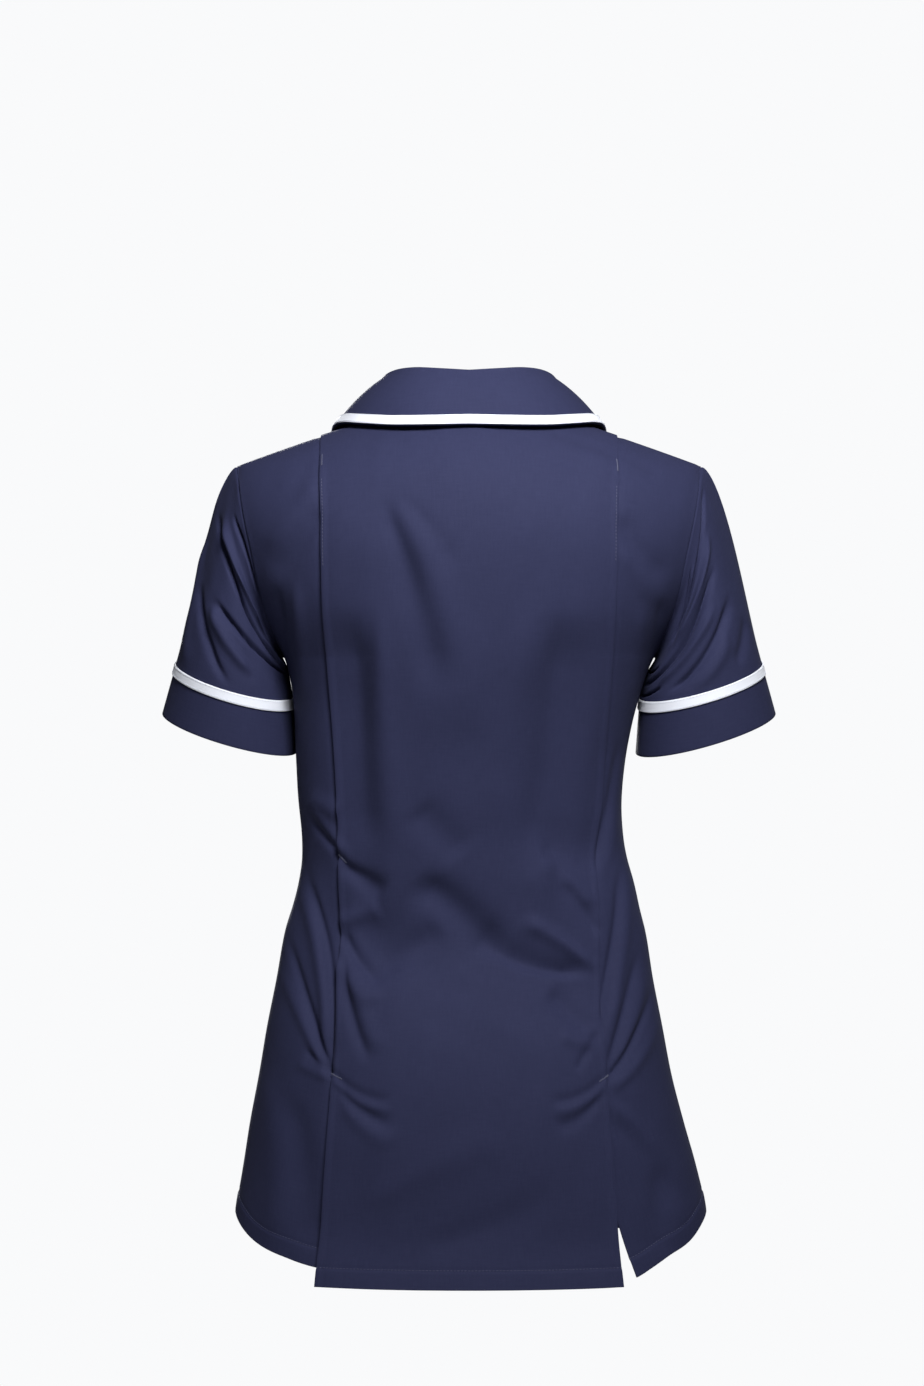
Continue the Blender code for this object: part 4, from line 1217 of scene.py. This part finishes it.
def build_stitch_tree():
    """Lays one thread stitch after another along each line, flat on the cloth."""
    tree = bpy.data.node_groups.new("stitch_row", "GeometryNodeTree")
    sockets = tree.interface
    sockets.new_socket("Lines", in_out="INPUT", socket_type="NodeSocketGeometry")
    for name, value in (("Pitch", STITCH_PITCH * MM), ("Length", STITCH_LENGTH * MM),
                        ("Radius", THREAD_RADIUS * MM), ("Turn", 0.0), ("Unevenness", 0.08)):
        sockets.new_socket(name, in_out="INPUT", socket_type="NodeSocketFloat").default_value = value
    sockets.new_socket("Thread", in_out="INPUT", socket_type="NodeSocketMaterial")
    sockets.new_socket("Stitches", in_out="OUTPUT", socket_type="NodeSocketGeometry")
    given = add_node(tree, "NodeGroupInput", (-1200, 0))
    curve = add_node(tree, "GeometryNodeMeshToCurve", (-800, 0), {"Mesh": given.outputs["Lines"]})
    even = add_node(tree, "GeometryNodeResampleCurve", (-600, 0), {
        "mode": "LENGTH", "Curve": curve.outputs["Curve"], "Length": given.outputs["Pitch"]})
    out = add_node(tree, "GeometryNodeInputNamedAttribute", (-800, -300), {
        "data_type": "FLOAT_VECTOR", "Name": "out"})
    ahead = add_node(tree, "GeometryNodeInputTangent", (-800, -450))
    facing = add_node(tree, "FunctionNodeAxesToRotation", (-600, -300), {
        "primary_axis": "Z", "secondary_axis": "X",
        "Primary Axis": out.outputs["Attribute"], "Secondary Axis": ahead.outputs["Tangent"]})
    least = math_node(tree, (-980, -650), "MULTIPLY", given.outputs["Unevenness"], -1.0)
    spread = add_node(tree, "FunctionNodeRandomValue", (-800, -650), {
        "data_type": "FLOAT", 2: least, 3: given.outputs["Unevenness"], "Seed": 7})
    turn = math_node(tree, (-600, -550), "ADD", given.outputs["Turn"], spread.outputs[1])
    axis_turn = add_node(tree, "FunctionNodeAxisAngleToRotation", (-450, -550), {
        "Axis": (0, 0, 1), "Angle": turn})
    turned = add_node(tree, "FunctionNodeRotateRotation", (-300, -400), {
        "rotation_space": "LOCAL", "Rotation": facing.outputs["Rotation"],
        "Rotate By": axis_turn.outputs["Rotation"]})
    half = math_node(tree, (-600, 250), "MULTIPLY", given.outputs["Length"], 0.5)
    size = add_node(tree, "ShaderNodeCombineXYZ", (-450, 250), {
        "X": half, "Y": given.outputs["Radius"], "Z": given.outputs["Radius"]})
    bead = add_node(tree, "GeometryNodeMeshUVSphere", (-600, 450), {"Segments": 6, "Rings": 5})
    placed = add_node(tree, "GeometryNodeInstanceOnPoints", (-100, 0), {
        "Points": even.outputs["Curve"], "Instance": bead.outputs["Mesh"],
        "Rotation": turned.outputs["Rotation"], "Scale": size.outputs["Vector"]})
    real = add_node(tree, "GeometryNodeRealizeInstances", (100, 0), {"Geometry": placed.outputs["Instances"]})
    smooth = add_node(tree, "GeometryNodeSetShadeSmooth", (250, 0), {"Geometry": real.outputs["Geometry"]})
    coloured = add_node(tree, "GeometryNodeSetMaterial", (400, 0), {
        "Geometry": smooth.outputs["Geometry"], "Material": given.outputs["Thread"]})
    add_node(tree, "NodeGroupOutput", (600, 0), {"Stitches": coloured.outputs["Geometry"]})
    return tree


def make_thread(name, dark, light):
    """Spun polyester thread: its twist and fuzz vary its colour and roughness along each stitch."""
    material, tree, shader = new_material(name)
    place = add_node(tree, "ShaderNodeTexCoord", (-900, 0))
    twist = add_node(tree, "ShaderNodeTexNoise", (-700, 0), {
        "Vector": place.outputs["Object"], "Scale": 2600.0, "Detail": 2.0}).outputs["Fac"]
    set_values(shader, {
        "Base Color": mix_colours(tree, (-450, 100), twist, dark, light),
        "Roughness": ranged(tree, (-450, -150), twist, {"To Min": 0.5, "To Max": 0.8}),
    })
    return material


def stitch_piece(name, lines, thread, pitch=STITCH_PITCH, length=STITCH_LENGTH, turn=0.0):
    """A joined mesh of stitches along lines, each a pair of arrays: its points and their outward ways."""
    points = []
    outward = []
    edges = []
    for line, out in lines:
        first = len(points)
        points += (line * MM).tolist()
        outward += out.tolist()
        edges += [(first + i, first + i + 1) for i in range(len(line) - 1)]
    mesh = bpy.data.meshes.new(name + "_lines")
    mesh.from_pydata(points, edges, [])
    facing = mesh.attributes.new("out", "FLOAT_VECTOR", "POINT")
    facing.data.foreach_set("vector", np.array(outward, np.float32).ravel())
    piece = put_in_scene(name, mesh)
    sewing = piece.modifiers.new("sewing", "NODES")
    sewing.node_group = stitch_tree
    given = {"Pitch": pitch * MM, "Length": length * MM, "Turn": turn, "Thread": thread}
    for item in stitch_tree.interface.items_tree:
        if item.in_out == "INPUT" and item.name in given:
            sewing[item.identifier] = given[item.name]
    made_plain(piece, name)
    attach(piece, "root")
    return piece


def even_line(points):
    """The same line with points about LINE_STEP apart."""
    reach = np.concatenate([[0], np.cumsum(np.linalg.norm(np.diff(points, axis=0), axis=1))])
    at = np.linspace(0, reach[-1], max(2, int(reach[-1] / LINE_STEP)))
    return np.stack([np.interp(at, reach, points[:, k]) for k in range(3)], axis=-1)


def sewn_line(points, away_from):
    """A line with its outward ways: square to the line, pointing away from a centre line at each height."""
    points = even_line(points)
    ahead = unit(np.gradient(points, axis=0))
    out = unit(points - away_from(points))
    out = unit(out - ahead * (out * ahead).sum(axis=-1, keepdims=True))
    return points, out


def body_middle(points):
    """Points inside the tunic, level with those on it, which its outward ways point away from."""
    return points * BODY_MIDDLE


def hem_lines():
    """The hems' rows of stitches, a hem's depth above each edge."""
    across = np.linspace(*CENTRE_HEM_LINE)
    height = np.full((len(across), 1), CENTRE_HEM + HEM_DEPTH)
    rows = [back_centre_points(across, height, THREAD_LIFT["hem"])[:, 0]]
    across = np.linspace(*SIDE_HEM_LINE)
    for hand in (1, -1):
        height = side_back_foot(hand, across)[:, None] + HEM_DEPTH
        rows.append(side_back_points(hand, across, height, THREAD_LIFT["hem"])[:, 0])
        height = front_foot(across)[:, None] + HEM_DEPTH
        rows.append(front_points(hand, across, height, THREAD_LIFT["hem"])[:, 0])
    return rows


def centre_line(shares, heights, lift):
    """A line over the centre panel, through pairs of a share of its width and a height."""
    return np.array([back_centre_points(np.array([share]), np.array([[height]]), lift)[0, 0]
                     for share, height in zip(shares, heights)])


def pleat_lines():
    """Rows of stitches along the tops of the pleats' folds."""
    rows = []
    for hand in (1, -1):
        height = np.linspace(*PLEAT_STITCHES[hand], PLEAT_LINE_POINTS)
        share = hand * (1 - PLEAT_STITCH_INSET / pleat_line(height))
        rows.append(centre_line(share, height, THREAD_LIFT["fold"]))
    return rows


def edge_lines():
    """Rows of stitches along the right front's lap and the lapels' edges."""
    rows = []
    height = np.linspace(*LAP_LINE)
    rows.append(front_points(-1, np.array([LAP_STITCH_SHARE]), height[None], THREAD_LIFT["fold"])[0])
    climb = np.linspace(*LAPEL_LINE)
    for label in ("left", "right"):
        rows.append(lapel_points(label, np.array([LAPEL_STITCH_SHARE]), climb, THREAD_LIFT["fold"])[0])
    return rows


def tape_lines():
    """Rows of stitches along both sides of each tape."""
    rows = []
    for inset in (TAPE_STITCH_INSET, TAPE_WIDTH - TAPE_STITCH_INSET):
        lift = SEAM_GAP + TAPE_CLOTH + THREAD_LIFT["tape"]
        strip = edge_strip(collar_points, collar_out, TAPE_INSET + inset, TAPE_INSET + inset + 0.1, 2, lift)
        rows.append((strip[:, 0], "collar"))
    span = TAPE_SHARES[1] - TAPE_SHARES[0]
    for hand in (1, -1):
        for inset in (TAPE_STITCH_INSET, TAPE_WIDTH - TAPE_STITCH_INSET):
            share = TAPE_SHARES[0] + span * inset / TAPE_WIDTH
            lift = SEAM_GAP + CUFF_TAPE_LIFT + TAPE_THIN + THREAD_LIFT["tape"]
            ring = band_grid(np.array([share]), hand, lift)[0]
            rows.append((np.concatenate([ring, ring[:1]]), "cuff"))
    return rows


def tack_line(tack):
    """A bar tack's line over the centre panel."""
    (x_a, z_a), (x_b, z_b) = tack
    t = np.linspace(0, 1, TACK_LINE_POINTS)
    across = x_a + (x_b - x_a) * t
    z = z_a + (z_b - z_a) * t
    rise = np.maximum(0.0, (z - UNDERARM) / -UNDERARM)
    ridge_height = RIDGE_TOP - RIDGE_SLOPE * np.hypot(across, RIDGE_ROUNDING)
    height = z - rise**RIDGE_SPREAD * ridge_height
    shares = across / pleat_line(height)
    return centre_line(shares, height, THREAD_LIFT["tack"])


stitch_tree = build_stitch_tree()
navy_thread = make_thread("navy_thread", (0.030, 0.034, 0.08, 1.0), (0.080, 0.088, 0.165, 1.0))
white_thread = make_thread("white_thread", (0.60, 0.63, 0.72, 1.0), (0.88, 0.90, 0.96, 1.0))
pale_thread = make_thread("pale_thread", (0.04, 0.044, 0.085, 1.0), (0.105, 0.112, 0.18, 1.0))

navy_lines = [sewn_line(row, body_middle) for row in hem_lines() + edge_lines()]
stitch_piece("navy_stitching", navy_lines, navy_thread)

white_lines = []
for row, place in tape_lines():
    if place == "collar":
        white_lines.append((row, collar_out[:, -1]))
    else:
        middle = row.mean(axis=0)
        white_lines.append(sewn_line(row, lambda points, middle=middle: middle))
stitch_piece("white_stitching", white_lines, white_thread)

pale_lines = [sewn_line(row, body_middle) for row in pleat_lines()]
stitch_piece("pleat_stitching", pale_lines, pale_thread)

tack_lines = [sewn_line(tack_line(tack), body_middle) for tack in BAR_TACKS]
stitch_piece("bar_tacks", tack_lines, pale_thread, TACK_PITCH, TACK_LENGTH, math.radians(80))


# The thread that holds each button: two bars of navy thread through its four holes.
BUTTON_THREAD_RADIUS = 0.34


def button_thread(number, height):
    """Two bars of thread over a button, from hole to hole, as round tubes."""
    bars = bpy.data.curves.new(f"button_{number}_thread", "CURVE")
    bars.dimensions = "3D"
    bars.bevel_depth = BUTTON_THREAD_RADIUS * MM
    bars.bevel_resolution = 2
    bars.use_fill_caps = True
    hole = BUTTON_HOLE_SPACING
    top = BUTTON_THICKNESS * BUTTON_DISH
    for side in (-1, 1):
        route = ((-hole, -0.6), (-hole, top + 0.15), (-hole * 0.5, top + 0.5), (hole * 0.5, top + 0.5),
                 (hole, top + 0.15), (hole, -0.6))
        spline = bars.splines.new("POLY")
        spline.points.add(len(route) - 1)
        for point, (x, z) in zip(spline.points, route):
            point.co = (x * MM, side * hole * MM, z * MM, 1)
    carrier = put_in_scene(bars.name, bars)
    graph = bpy.context.evaluated_depsgraph_get()
    mesh = bpy.data.meshes.new_from_object(carrier.evaluated_get(graph))
    bpy.data.objects.remove(carrier, do_unlink=True)
    seat_on_front(mesh, height, navy_thread)
    mesh.name = f"button_{number}_thread"
    piece = put_in_scene(mesh.name, mesh)
    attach(piece, "root")


for number, height in enumerate(BUTTON_HEIGHTS, 1):
    button_thread(number, height)
